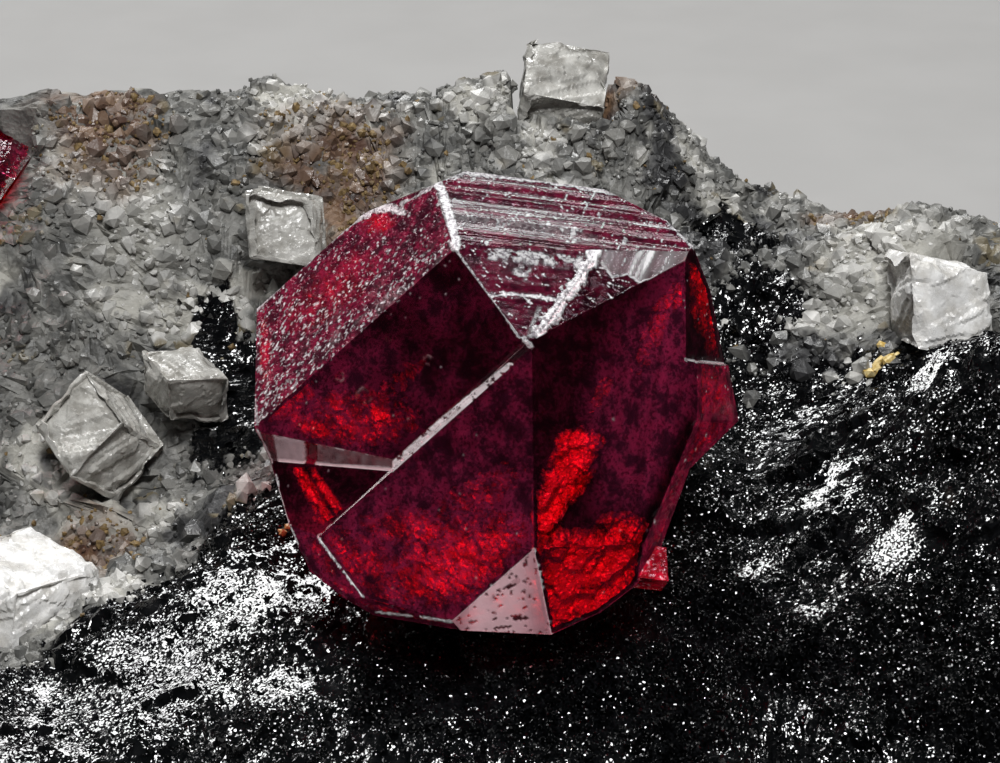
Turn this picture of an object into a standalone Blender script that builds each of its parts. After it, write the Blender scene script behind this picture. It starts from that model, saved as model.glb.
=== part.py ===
"""Cinnabar in matrix: a deep red cinnabar crystal standing in a broken piece of dark ore rock.

The rock is one piece: black ore and pale gangue grown through each other. The large crystal sits in a
socket near the front, a small second cinnabar crystal sits on the rear rim, and six pale calcite crystals
stand around them. Units are metres, +Z is up, and the origin is the centre of the rock's flat underside.
"""

import math

import bmesh
import bpy
from mathutils import Euler, Matrix, Vector, noise

MM = 0.001

# Driving dimensions, in millimetres and degrees.
ROCK_LENGTH = 38.0
ROCK_WIDTH = 29.0
CRYSTAL_CENTRE = (0.0, -2.2, 13.0)
CRYSTAL_TILT = 65.0
SEAT_GAP = 0.3

# Corners of the large crystal, seen face on: x to the right, y up its front, z out of its front.
CORNERS = {
    "crown": (-0.90, 2.60, 2.85),
    "crown_left": (-1.35, 4.00, 0.70),
    "crown_back": (-0.70, 4.35, 0.00),
    "shoulder_left": (-4.15, -0.20, 1.55),
    "nose": (0.60, 0.80, 3.70),
    "corner_right": (3.95, 2.60, 1.90),
    "step_right": (0.25, 0.30, 3.55),
    "step_left": (-2.10, -1.75, 2.65),
    "step_crest": (-0.95, 1.45, 3.95),
    "step_top": (-2.20, -1.65, 2.70),
    "ledge_left": (-4.45, -1.60, 1.30),
    "ledge_crest": (-4.50, -1.05, 1.50),
    "foot_left": (-3.65, -3.05, 2.05),
    "foot_lower": (-2.65, -4.25, 2.45),
    "waist_left": (-4.30, -2.80, 1.65),
    "heel_left": (-3.80, -3.80, 1.75),
    "toe_left": (-3.00, -4.35, 2.10),
    "toe": (-2.45, -4.65, 2.20),
    "chin": (0.65, -3.25, 3.70),
    "chin_left": (-0.95, -4.65, 3.10),
    "chin_right": (1.00, -4.95, 3.00),
    "cheek_middle": (3.95, -0.75, 1.95),
    "cheek_foot": (2.85, -3.20, 2.55),
    "hip_low": (1.85, -4.60, 2.65),
    "hip": (2.45, -4.20, 2.45),
    "right_point": (4.90, -0.80, 0.30),
    "right_top": (4.30, 1.80, 1.15),
    "right_foot": (3.25, -3.35, 1.30),
    "top_middle": (2.15, 3.95, 0.05),
    "top_right": (3.40, 3.25, 0.95),
    "brow_left": (-2.90, 3.50, -0.75),
    "temple_left": (-4.85, 1.85, -1.55),
    "left_point": (-5.15, 1.30, -1.45),
    "left_lower": (-4.95, -0.90, 1.20),
    "rear_top": (0.40, 3.10, -3.00),
    "rear_top_right": (3.00, 2.10, -2.90),
    "rear_right": (3.70, -0.30, -3.00),
    "rear_right_low": (2.30, -2.90, -2.60),
    "rear_foot": (-0.40, -4.00, -2.40),
    "rear_foot_left": (-2.60, -2.90, -2.60),
    "rear_left": (-4.20, 0.30, -3.20),
    "rear_temple": (-3.00, 2.20, -3.40),
    "hip_inner": (3.80, -1.75, 1.65),
    "hip_front": (3.20, -3.35, 1.90),
    "hip_deep": (3.50, -1.90, -1.50),
}

# Each outer face of the large crystal, as three corners that it passes through.
FACES = {
    "rough": ("crown", "shoulder_left", "crown_left"),
    "dark": ("crown", "shoulder_left", "step_top"),
    "striated": ("crown", "crown_back", "corner_right"),
    "purple": ("crown", "nose", "corner_right"),
    "glowing": ("nose", "chin", "cheek_middle"),
    "glowing_low": ("chin", "cheek_foot", "chin_right"),
    "chin": ("chin", "chin_left", "chin_right"),
    "cheek": ("corner_right", "cheek_middle", "right_point"),
    "cheek_low": ("cheek_middle", "cheek_foot", "right_point"),
    "left_low": ("foot_left", "foot_lower", "waist_left"),
    "foot": ("foot_lower", "chin_left", "toe"),
    "brow": ("brow_left", "crown_left", "crown_back"),
    "upper_right": ("corner_right", "top_right", "right_top"),
    "top_back": ("crown_back", "top_middle", "rear_top"),
    "top_right_back": ("top_middle", "top_right", "rear_top_right"),
    "right_back": ("right_top", "right_point", "rear_right"),
    "right_low_back": ("right_point", "right_foot", "rear_right_low"),
    "hip_back": ("right_foot", "hip", "rear_right_low"),
    "under_right": ("hip_low", "chin_right", "rear_foot"),
    "under": ("toe", "chin_right", "rear_foot"),
    "heel": ("heel_left", "toe_left", "rear_foot_left"),
    "left_under": ("waist_left", "heel_left", "rear_foot_left"),
    "left_back": ("left_lower", "left_point", "rear_left"),
    "temple_back": ("temple_left", "brow_left", "rear_temple"),
    "brow_back": ("brow_left", "crown_back", "rear_top"),
    "back_top": ("rear_top", "rear_temple", "rear_right"),
    "back_low": ("rear_right", "rear_foot_left", "rear_right_low"),
}

# Steps cut into the outer faces. Each removes what lies outside both of its planes.
STEPS = {
    "lower_front": (("nose", "step_left", "chin"), ("step_right", "step_left", "step_crest")),
    "left_ledge": (("step_left", "foot_left", "ledge_left"), ("step_left", "ledge_left", "ledge_crest")),
    "hip_notch": (("hip_inner", "hip_front", "hip_deep"), ("hip_inner", "right_point", "hip_deep")),
}
CHEEK_STEP_DEPTH = 0.15
CHEEK_STEP_CORNERS = ((3.65, 0.45, 2.10), (4.60, 0.35, 0.70), (4.50, 0.20, 2.60))

# The little crystal grown onto the large one's lower right corner.
BUD = ((2.90, -3.70, 1.90), 0.36, (25.0, 35.0, 10.0), 82.0)

# Broken sides of the rock: direction in degrees, distance in millimetres, lean in degrees.
ROCK_SIDES = (
    (-4.0, 18.6, 6.0),
    (27.0, 19.6, -4.0),
    (58.0, 17.0, 8.0),
    (88.0, 14.2, 3.0),
    (121.0, 19.2, 4.0),
    (152.0, 20.4, -1.0),
    (178.0, 18.9, 5.0),
    (211.0, 18.8, 9.0),
    (239.0, 17.0, 12.0),
    (268.0, 14.3, 14.0),
    (304.0, 16.9, 9.0),
    (333.0, 18.8, 5.0),
)
ROCK_ANGLES = 84
ROCK_RINGS = 22
WALL_RINGS = 5
EDGE_ROUNDING = 2.6
EDGE_DROP = 1.6
BASE_HEIGHT = 8.3

# Rises and hollows of the rock's top: height, centre x and y, spread along x and y, in millimetres.
SWELLS = (
    (5.0, 11.6, -0.2, 3.9, 4.2),
    (3.9, 0.3, 2.0, 3.3, 3.0),
    (1.2, -5.2, -0.6, 3.0, 3.0),
    (-0.8, -11.4, 1.1, 4.0, 3.5),
    (1.6, 10.5, 6.5, 4.0, 3.0),
    (0.7, 1.0, 12.0, 3.0, 3.0),
)
# Long slopes of the top: their height, and where they start and end in millimetres.
REAR_RISE = 6.3
REAR_RISE_Y = (3.0, 12.0)
REAR_RIGHT_DROP = 2.4
REAR_RIGHT_X, REAR_RIGHT_Y = (3.2, 6.0), (6.0, 11.0)
LEFT_FALL = 1.8
LEFT_FALL_X, LEFT_FALL_Y = (3.0, 11.0), (3.0, 10.0)
FRONT_SLOPE, FRONT_SLOPE_START = 0.62, -7.0
# Broken blocks of the top: height, width and shift of the pattern in millimetres, and how steep they are.
BLOCKS = ((0.55, 3.6, 0.0), (0.22, 1.5, 40.0))
BLOCK_SLOPE = 1.4
# Numbers that pick the blocks' pattern: the level of the slice through it, and places in Blender's noise.
SLICE_LEVEL = 0.37
TILT_SCALE, TILT_SHIFT = 7.3, Vector((31.0, 0, 0))
LEVEL_SCALE, LEVEL_SHIFT = 5.1, Vector((0, 17.0, 0))
# Unevenness of the broken sides: depth, and its size round the rock and upward, in millimetres.
WALL_DEPTH = 0.5
WALL_TURNS, WALL_RISE = 4, 3
LEAST_FACING = 0.3
RIM_ROUNDS = 4

# Small crystals: place of the centre in millimetres, half thickness, turn and plane angle in degrees.
CALCITES = {
    "calcite_left_rear": ((-5.1, 7.6, 12.5), 0.78, (25.0, 35.0, 15.0), 105.0),
    "calcite_rear_rim": ((1.5, 11.6, 14.1), 1.05, (75.0, 25.0, 40.0), 100.0),
    "calcite_left_valley": ((-9.4, 4.6, 8.4), 0.85, (50.0, -20.0, 60.0), 105.0),
    "calcite_left_slope": ((-7.4, 5.1, 9.5), 0.70, (-35.0, 30.0, 5.0), 105.0),
    "calcite_left_front": ((-10.8, 0.2, 6.3), 1.05, (40.0, 30.0, -20.0), 106.0),
    "calcite_right_saddle": ((10.2, 5.0, 11.6), 1.00, (30.0, 40.0, 30.0), 105.0),
}
REAR_CINNABAR = ((-12.9, 9.6, 13.2), 1.00, (30.0, -25.0, 20.0), 88.0)

START_CUBE = 30.0


def clear_scene():
    for item in list(bpy.data.objects):
        bpy.data.objects.remove(item, do_unlink=True)


def make_material(name, color, roughness, transmission=0.0, ior=1.5):
    material = bpy.data.materials.new(name)
    material.use_nodes = True
    shader = material.node_tree.nodes["Principled BSDF"]
    shader.inputs["Base Color"].default_value = (*color, 1.0)
    shader.inputs["Roughness"].default_value = roughness
    shader.inputs["Metallic"].default_value = 0.0
    shader.inputs["Transmission Weight"].default_value = transmission
    shader.inputs["IOR"].default_value = ior
    material.diffuse_color = (*color, 1.0)
    return material


def face_plane(a, b, c):
    """A point on the flat face through three corners, and the face's outward direction."""
    a, b, c = Vector(a), Vector(b), Vector(c)
    normal = (b - a).cross(c - a).normalized()
    if normal.dot(a) < 0:
        normal.negate()
    return a, normal


def convex_solid(planes, clearance=0.0):
    """The solid inside all of the planes, each moved outward by the clearance."""
    solid = bmesh.new()
    bmesh.ops.create_cube(solid, size=START_CUBE)
    for point, normal in planes:
        everything = solid.verts[:] + solid.edges[:] + solid.faces[:]
        cut = bmesh.ops.bisect_plane(
            solid, geom=everything, plane_co=point + normal * clearance, plane_no=normal, clear_outer=True
        )
        rim = [item for item in cut["geom_cut"] if isinstance(item, bmesh.types.BMEdge)]
        if rim:
            bmesh.ops.contextual_create(solid, geom=rim)
    bmesh.ops.recalc_face_normals(solid, faces=solid.faces)
    return solid


def make_object(name, solid, placing, material=None):
    """Turns a solid in millimetres into an object in metres, placed by a matrix in millimetres."""
    bmesh.ops.transform(solid, matrix=Matrix.Scale(MM, 4) @ placing, verts=solid.verts)
    mesh = bpy.data.meshes.new(name)
    solid.to_mesh(mesh)
    solid.free()
    item = bpy.data.objects.new(name, mesh)
    bpy.context.scene.collection.objects.link(item)
    if material:
        mesh.materials.append(material)
    return item


def combine(item, operation, tool):
    """Joins the tool to the item, or cuts it away, and hides the tool."""
    modifier = item.modifiers.new(f"{operation.lower()} {tool.name}", "BOOLEAN")
    modifier.operation = operation
    modifier.solver = "EXACT"
    modifier.object = tool
    tool.hide_render = True
    tool.display_type = "WIRE"


def rhomb_planes(half_thickness, plane_angle):
    """Three pairs of parallel faces that meet at the plane angle, standing on a corner."""
    tilt = math.asin(math.sqrt((1 - math.cos(math.radians(180 - plane_angle))) / 1.5))
    directions = []
    for turn in range(3):
        around = math.radians(120 * turn)
        flat = Vector((math.cos(around), math.sin(around), 0)) * math.sin(tilt)
        directions.append(flat + Vector((0, 0, math.cos(tilt))))
    normals = directions + [-direction for direction in directions]
    return [(normal * half_thickness, normal) for normal in normals]


def placed(centre, turn):
    """The matrix that turns a crystal by angles in degrees and then moves it to its centre."""
    angles = [math.radians(angle) for angle in turn]
    return Matrix.Translation(centre) @ Euler(angles).to_matrix().to_4x4()


def crystal_placing():
    return placed(CRYSTAL_CENTRE, (CRYSTAL_TILT, 0.0, 0.0))


def step_cutter(name, planes):
    """A wedge that holds everything outside all of the planes."""
    wedge = convex_solid([(point, -normal) for point, normal in planes])
    return make_object(name, wedge, crystal_placing())


def cheek_step_planes():
    """The upper part of the right cheek lies a little lower than the rest of it."""
    point, normal = face_plane(*(CORNERS[corner] for corner in FACES["cheek"]))
    return [(point - normal * CHEEK_STEP_DEPTH, normal), face_plane(*CHEEK_STEP_CORNERS)]


def large_crystal_planes():
    return [face_plane(*(CORNERS[corner] for corner in face)) for face in FACES.values()]


def make_small_crystal(name, size, material, clearance=0.0, parent=Matrix()):
    centre, half_thickness, turn, plane_angle = size
    solid = convex_solid(rhomb_planes(half_thickness, plane_angle), clearance)
    return make_object(name, solid, parent @ placed(centre, turn), material)


def make_large_crystal(material):
    body = convex_solid(large_crystal_planes())
    crystal = make_object("cinnabar_crystal", body, crystal_placing(), material)
    for name, faces in STEPS.items():
        planes = [face_plane(*(CORNERS[corner] for corner in face)) for face in faces]
        combine(crystal, "DIFFERENCE", step_cutter(f"{name}_cutter", planes))
    combine(crystal, "DIFFERENCE", step_cutter("cheek_step_cutter", cheek_step_planes()))
    bud = make_small_crystal("bud", BUD, material, parent=crystal_placing())
    combine(crystal, "UNION", bud)
    return crystal


def smooth_step(low, high, value):
    t = min(max((value - low) / (high - low), 0.0), 1.0)
    return t * t * (3 - 2 * t)


def block_height(x, y, cell):
    """Flat tilted blocks, as a broken surface has: each cell has its own height and slope."""
    place = Vector((x / cell, y / cell, SLICE_LEVEL))
    centre = noise.voronoi(place)[1][0]
    offset = place - centre
    tilt_x = noise.noise(centre * TILT_SCALE)
    tilt_y = noise.noise(centre * TILT_SCALE + TILT_SHIFT)
    level = noise.noise(centre * LEVEL_SCALE + LEVEL_SHIFT)
    return level + BLOCK_SLOPE * (tilt_x * offset.x + tilt_y * offset.y)


def top_height(x, y):
    """Height of the rock's top above its flat underside."""
    height = BASE_HEIGHT
    for rise, centre_x, centre_y, spread_x, spread_y in SWELLS:
        height += rise * math.exp(-(((x - centre_x) / spread_x) ** 2) - ((y - centre_y) / spread_y) ** 2)
    height += REAR_RISE * smooth_step(*REAR_RISE_Y, y)
    height -= REAR_RIGHT_DROP * smooth_step(*REAR_RIGHT_X, x) * smooth_step(*REAR_RIGHT_Y, y)
    height -= LEFT_FALL * smooth_step(*LEFT_FALL_X, -x) * (1 - smooth_step(*LEFT_FALL_Y, y))
    height -= FRONT_SLOPE * max(0.0, FRONT_SLOPE_START - y)
    for rise, width, shift in BLOCKS:
        height += rise * block_height(x + shift, y, width)
    return height


def side_distance(angle, height):
    """Distance from the middle to the broken side in this direction, at this height."""
    nearest = math.inf
    for direction, distance, lean in ROCK_SIDES:
        facing = math.cos(angle - math.radians(direction))
        if facing > LEAST_FACING:
            nearest = min(nearest, (distance - math.tan(math.radians(lean)) * height) / facing)
    return nearest


def rim_of_rock(angle):
    """Distance and height of the rock's upper edge in this direction."""
    reach, height = side_distance(angle, BASE_HEIGHT), BASE_HEIGHT
    for _ in range(RIM_ROUNDS):
        height = top_height(reach * math.cos(angle), reach * math.sin(angle)) - EDGE_DROP
        reach = side_distance(angle, height)
    return reach, height


def rock_column(angle):
    """Points from next to the middle of the top, out to the edge and down the side to the floor."""
    reach, rim_height = rim_of_rock(angle)
    points = []
    for ring in range(1, ROCK_RINGS + 1):
        r = reach * ring / ROCK_RINGS
        x, y = r * math.cos(angle), r * math.sin(angle)
        drop = EDGE_DROP * (1 - smooth_step(0.0, EDGE_ROUNDING, reach - r))
        points.append(Vector((x, y, top_height(x, y) - drop)))
    for ring in range(1, WALL_RINGS + 1):
        z = rim_height * (1 - ring / WALL_RINGS)
        r = side_distance(angle, z)
        uneven = Vector((math.cos(angle) * WALL_TURNS, math.sin(angle) * WALL_TURNS, z / WALL_RISE))
        r += WALL_DEPTH * noise.noise(uneven)
        points.append(Vector((r * math.cos(angle), r * math.sin(angle), z)))
    return points


def rock_surface():
    """The rock as one closed surface, fitted to its stated length and width."""
    solid = bmesh.new()
    columns = [rock_column(2 * math.pi * turn / ROCK_ANGLES) for turn in range(ROCK_ANGLES)]
    middle = solid.verts.new((0, 0, top_height(0, 0)))
    rings = [[solid.verts.new(column[ring]) for column in columns] for ring in range(len(columns[0]))]
    for turn in range(ROCK_ANGLES):
        after = (turn + 1) % ROCK_ANGLES
        solid.faces.new((middle, rings[0][turn], rings[0][after]))
        for inner, outer in zip(rings, rings[1:]):
            solid.faces.new((inner[turn], outer[turn], outer[after], inner[after]))
    solid.faces.new(reversed(rings[-1]))
    fit_to_size(solid)
    return solid


def fit_to_size(solid):
    """Scales and moves the rock so that its box is centred and has the stated length and width."""
    low = [min(vertex.co[axis] for vertex in solid.verts) for axis in (0, 1)]
    high = [max(vertex.co[axis] for vertex in solid.verts) for axis in (0, 1)]
    for axis, size in enumerate((ROCK_LENGTH, ROCK_WIDTH)):
        middle, scale = (low[axis] + high[axis]) / 2, size / (high[axis] - low[axis])
        for vertex in solid.verts:
            vertex.co[axis] = (vertex.co[axis] - middle) * scale


def make_rock(material):
    rock = make_object("matrix", rock_surface(), Matrix(), material)
    socket = convex_solid(large_crystal_planes(), SEAT_GAP)
    combine(rock, "DIFFERENCE", make_object("cinnabar_socket", socket, crystal_placing()))
    seats = {**CALCITES, "rear_cinnabar_crystal": REAR_CINNABAR}
    for name, size in seats.items():
        combine(rock, "DIFFERENCE", make_small_crystal(f"{name}_socket", size, None, SEAT_GAP))
    return rock


def main():
    clear_scene()
    bpy.context.scene.unit_settings.system = "METRIC"
    cinnabar = make_material("cinnabar", (0.42, 0.004, 0.012), 0.12, transmission=0.9, ior=2.5)
    ore = make_material("ore", (0.05, 0.05, 0.052), 0.35)
    calcite = make_material("calcite", (0.72, 0.70, 0.64), 0.30, transmission=0.3)
    make_rock(ore)
    make_large_crystal(cinnabar)
    make_small_crystal("rear_cinnabar_crystal", REAR_CINNABAR, cinnabar)
    for name, size in CALCITES.items():
        make_small_crystal(name, size, calcite)


main()
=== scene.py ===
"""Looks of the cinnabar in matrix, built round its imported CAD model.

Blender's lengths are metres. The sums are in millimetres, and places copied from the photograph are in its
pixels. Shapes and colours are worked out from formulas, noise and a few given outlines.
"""

import math

import bmesh
import bpy
import numpy as np
from mathutils import Matrix, Vector
from mathutils.bvhtree import BVHTree
from mathutils.geometry import delaunay_2d_cdt


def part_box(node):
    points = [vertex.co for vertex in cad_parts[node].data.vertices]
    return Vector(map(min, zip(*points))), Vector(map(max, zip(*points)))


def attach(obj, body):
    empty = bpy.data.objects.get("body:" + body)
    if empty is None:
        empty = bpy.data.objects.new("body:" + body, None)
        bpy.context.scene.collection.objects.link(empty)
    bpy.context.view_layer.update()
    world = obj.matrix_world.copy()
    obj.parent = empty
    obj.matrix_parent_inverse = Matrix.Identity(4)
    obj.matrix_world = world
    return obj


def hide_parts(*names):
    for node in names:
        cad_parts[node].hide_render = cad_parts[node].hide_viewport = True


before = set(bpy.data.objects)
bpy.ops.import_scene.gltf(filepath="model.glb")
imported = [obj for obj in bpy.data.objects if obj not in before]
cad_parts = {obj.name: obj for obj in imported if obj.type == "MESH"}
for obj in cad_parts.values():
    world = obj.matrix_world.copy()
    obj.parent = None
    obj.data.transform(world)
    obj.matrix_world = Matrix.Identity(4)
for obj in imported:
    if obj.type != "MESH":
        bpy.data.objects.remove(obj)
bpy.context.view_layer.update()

MM = 0.001

# The photograph's frame in pixels, and the camera that matches it.
PHOTO_WIDTH, PHOTO_HEIGHT = 1000, 763
LENS, SENSOR = 100.0, 36.0
FOCAL_PIXELS = PHOTO_WIDTH * LENS / SENSOR
CAMERA_DISTANCE = 57.28
CAMERA_DOWN = 25.0
CRYSTAL_CENTRE = Vector((0.0, -2.2, 13.0))

# The large crystal's own frame: x right, y up its front, z out of its front towards the camera.
CRYSTAL_FRAME = Matrix.Translation(CRYSTAL_CENTRE) @ Matrix.Rotation(math.radians(90 - CAMERA_DOWN), 4, "X")
TO_WORLD = np.array(CRYSTAL_FRAME)


# ---------------------------------------------------------------- numbers and noise

# Large odd factors that scatter whole numbers over all 64 bits.
SEED_FACTOR = 2654435761
AXIS_FACTORS = (73856093, 19349663, 83492791)
FIRST_FACTOR, LAST_FACTOR = np.uint64(0x9E3779B97F4A7C15), np.uint64(0xBF58476D1CE4E5B9)
ALL_BITS = np.uint64(0xFFFFFFFFFFFFFFFF)
# Each finer octave of noise has this share of the size and strength of the one before.
OCTAVE_SIZE, OCTAVE_STRENGTH = 0.47, 0.5


def smooth_step(low, high, value):
    """0 up to the first number and 1 from the second, smooth between them."""
    t = np.clip((value - low) / (high - low), 0.0, 1.0)
    return t * t * (3 - 2 * t)


def moved(points, matrix):
    """Points moved by a 4 by 4 matrix."""
    return points @ matrix[:3, :3].T + matrix[:3, 3]


def hashed(places, seed):
    """A random number from 0 to 1 for each whole-numbered place."""
    mixed = np.full(places.shape[:-1], seed * SEED_FACTOR % 2**32, np.uint64)
    for axis, factor in enumerate(AXIS_FACTORS):
        positive = (places[..., axis].astype(np.int64) + 100000).astype(np.uint64)
        mixed = mixed ^ (positive * np.uint64(factor))
        mixed = (mixed * FIRST_FACTOR) & ALL_BITS
        mixed = mixed ^ (mixed >> np.uint64(29))
    mixed = (mixed * LAST_FACTOR) & ALL_BITS
    return (mixed >> np.uint64(40)).astype(float) / 2**24


def noise(points, size, seed=0, octaves=1):
    """Smooth noise from -1 to 1 with bumps of about this size."""
    total, strength, weight = np.zeros(len(points)), 1.0, 0.0
    for octave in range(octaves):
        scaled = points / size
        base = np.floor(scaled).astype(int)
        part = scaled - base
        part = part * part * (3 - 2 * part)
        value = np.zeros(len(points))
        for corner in np.ndindex(2, 2, 2):
            corner = np.array(corner)
            share = np.prod(np.where(corner, part, 1 - part), axis=1)
            value += share * hashed(base + corner, seed + 11 * octave)
        total += strength * (2 * value - 1)
        weight += strength
        strength, size = strength * OCTAVE_STRENGTH, size * OCTAVE_SIZE
    return total / weight


def cells(points, size, seed=0):
    """The nearest of the scattered cell centres: the offset from it, its whole-numbered cell and the
    distance to the border with the next one, all in units of the size."""
    scaled = points / size
    base = np.floor(scaled).astype(int)
    best = np.full(len(points), np.inf)
    second = np.full(len(points), np.inf)
    offset, owner = np.zeros_like(scaled), base.copy()
    for shift in np.ndindex(3, 3, 3):
        cell = base + np.array(shift) - 1
        centre = cell + np.stack([hashed(cell, seed + axis) for axis in range(3)], -1)
        away = scaled - centre
        distance = np.einsum("ij,ij->i", away, away)
        nearer = distance < best
        second = np.where(nearer, best, np.minimum(second, distance))
        best = np.where(nearer, distance, best)
        offset[nearer], owner[nearer] = away[nearer], cell[nearer]
    return offset, owner, np.sqrt(second) - np.sqrt(best)


def facets(points, size, seed=0, tilt=1.0):
    """Height of a surface broken into small flat blocks, each with its own level and slope, about -1 to 1."""
    offset, owner, _ = cells(points, size, seed)
    slope = np.stack([hashed(owner, seed + 20 + axis) for axis in range(3)], -1) - 0.5
    level = hashed(owner, seed + 30) - 0.5
    return level + 2 * tilt * np.einsum("ij,ij->i", offset, slope)


def make_mesh(name, points, faces, material):
    """A mesh object from points in world millimetres."""
    mesh = bpy.data.meshes.new(name)
    mesh.from_pydata((np.asarray(points) * MM).tolist(), [], [list(map(int, face)) for face in faces])
    mesh.update()
    item = bpy.data.objects.new(name, mesh)
    bpy.context.scene.collection.objects.link(item)
    mesh.materials.append(material)
    return item


def add_attribute(item, name, values):
    """Gives each point of a mesh a number that its material can read."""
    layer = item.data.attributes.new(name, "FLOAT", "POINT")
    layer.data.foreach_set("value", np.asarray(values, np.float32))


# ---------------------------------------------------------------- photograph coordinates

def seen_at(points):
    """Where points of the crystal's frame are seen in the photograph, in its pixels."""
    scale = FOCAL_PIXELS / (CAMERA_DISTANCE - points[:, 2])
    across = PHOTO_WIDTH / 2 + points[:, 0] * scale
    down = PHOTO_HEIGHT / 2 - points[:, 1] * scale
    return np.stack([across, down], -1)


def line_distance(seen, line):
    """Distance in pixels from each point to a line of straight runs."""
    line = np.asarray(line, float)
    best = np.full(len(seen), np.inf)
    for first, last in zip(line, line[1:]):
        run = np.linalg.norm(last - first)
        way = (last - first) / run
        t = np.clip((seen - first) @ way, 0, run)
        best = np.minimum(best, np.linalg.norm(seen - first - t[:, None] * way, axis=1))
    return best


def within(flat, starts, ends):
    """Whether flat points lie inside the closed outline made of these edges."""
    result = np.zeros(len(flat), bool)
    for (x0, y0), (x1, y1) in zip(starts, ends):
        if abs(y1 - y0) > 1e-9:
            at = (x1 - x0) * (flat[:, 1] - y0) / (y1 - y0) + x0
            result ^= ((y0 > flat[:, 1]) != (y1 > flat[:, 1])) & (flat[:, 0] < at)
    return result


def inside(seen, outline, soft):
    """1 inside an outline and 0 outside, with a soft border this many pixels wide."""
    outline = np.asarray(outline, float)
    distance = line_distance(seen, np.vstack([outline, outline[:1]]))
    inner = within(seen, outline, np.roll(outline, -1, axis=0))
    return smooth_step(-soft / 2, soft / 2, np.where(inner, distance, -distance))


# ---------------------------------------------------------------- materials

class Material:
    """A node material on one Principled shader, with short ways to add procedural nodes."""

    def __init__(self, name, **settings):
        self.material = bpy.data.materials.new(name)
        self.material.use_nodes = True
        self.tree = self.material.node_tree
        self.shader = self.tree.nodes["Principled BSDF"]
        self.output = self.tree.nodes["Material Output"]
        for socket, value in settings.items():
            self.shader.inputs[socket.replace("_", " ")].default_value = value

    def node(self, kind, inputs=None, **settings):
        """A new node with these settings, and with its inputs set or linked."""
        made = self.tree.nodes.new("ShaderNode" + kind)
        for key, value in settings.items():
            setattr(made, key, value)
        for socket, value in (inputs or {}).items():
            self.join(value, made.inputs[socket])
        return made

    def join(self, value, socket):
        """Sets a socket to a constant, or links it to another socket."""
        if isinstance(value, bpy.types.NodeSocket):
            self.tree.links.new(value, socket)
        else:
            socket.default_value = value

    def place(self, size, turn=(0, 0, 0)):
        """Object coordinates in units of a size in millimetres."""
        coordinates = self.node("TexCoord").outputs["Object"]
        turned = self.node("Mapping", {"Vector": coordinates}, vector_type="POINT")
        turned.inputs["Rotation"].default_value = [math.radians(angle) for angle in turn]
        scaled = self.node("Mapping", {"Vector": turned.outputs["Vector"]}, vector_type="POINT")
        scaled.inputs["Scale"].default_value = [1 / (size * MM)] * 3
        return scaled.outputs["Vector"]

    def noise(self, size, detail=3.0, rough=0.55, turn=(0, 0, 0), twist=0.0):
        """Clouds with bumps of about this size in millimetres."""
        inputs = {"Vector": self.place(size, turn), "Scale": 1.0, "Detail": detail, "Roughness": rough,
                  "Distortion": twist}
        return self.node("TexNoise", inputs).outputs["Fac"]

    def voronoi(self, size, output="Distance"):
        return self.node("TexVoronoi", {"Vector": self.place(size), "Scale": 1.0}).outputs[output]

    def attribute(self, name):
        return self.node("Attribute", attribute_name=name).outputs["Fac"]

    def fit(self, value, low, high, to_low=0.0, to_high=1.0):
        """Maps a value from one range to another with soft ends."""
        inputs = {"Value": value, "From Min": low, "From Max": high, "To Min": to_low, "To Max": to_high}
        return self.node("MapRange", inputs, interpolation_type="SMOOTHSTEP").outputs["Result"]

    def math(self, operation, first, second=0.0):
        made = self.node("Math", operation=operation)
        self.join(first, made.inputs[0])
        self.join(second, made.inputs[1])
        return made.outputs["Value"]

    def times(self, first, second):
        return self.math("MULTIPLY", first, second)

    def mix(self, share, first, second):
        """Blends two colours, each a colour or a socket."""
        made = self.node("Mix", data_type="RGBA")
        for socket, value in ((0, share), (6, first), (7, second)):
            value = (*value, 1.0) if isinstance(value, tuple) and len(value) == 3 else value
            self.join(value, made.inputs[socket])
        return made.outputs[2]

    def blend(self, share, first, second):
        """Blends two plain numbers."""
        return self.node("Mix", {0: share, 2: first, 3: second}, data_type="FLOAT").outputs[0]

    def bump(self, height, depth, under=None):
        """Bumps of a depth in millimetres, over earlier ones."""
        made = self.node("Bump", {"Height": height, "Strength": 1.0, "Distance": depth * MM})
        if under is not None:
            self.join(under, made.inputs["Normal"])
        return made.outputs["Normal"]

    def vector(self, operation, first, second=None):
        made = self.node("VectorMath", operation=operation)
        self.join(first, made.inputs[0])
        if second is not None:
            self.join(second, made.inputs["Scale"] if operation == "SCALE" else made.inputs[1])
        return made.outputs["Vector"]

    def glitter(self, size, spread, lie, share):
        """Directions of small flat faces of this size, each tilted its own way from the surface or, where the
        share is 1, from one direction."""
        own = self.vector("SUBTRACT", self.voronoi(size, "Color"), (0.5, 0.5, 0.5))
        tilt = self.vector("SCALE", own, self.times(spread, 2.0))
        outward = self.node("NewGeometry").outputs["Normal"]
        outward = self.node("Mix", {0: share, 4: outward, 5: lie}, data_type="VECTOR").outputs[1]
        return self.vector("NORMALIZE", self.vector("ADD", outward, tilt))

    def set(self, **sockets):
        """Sets or links the shader's sockets; an underscore in a name stands for a space."""
        for socket, value in sockets.items():
            self.join(value, self.shader.inputs[socket.replace("_", " ")])

    def let_lamps_through(self, tint):
        """Glass that lets lamps light what is sealed in it."""
        is_shadow = self.node("LightPath").outputs["Is Shadow Ray"]
        clear = self.node("BsdfTransparent", {"Color": (*tint, 1.0)})
        both = self.node("MixShader", {"Fac": is_shadow})
        self.tree.links.new(self.shader.outputs["BSDF"], both.inputs[1])
        self.tree.links.new(clear.outputs["BSDF"], both.inputs[2])
        self.tree.links.new(both.outputs["Shader"], self.output.inputs["Surface"])

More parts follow.
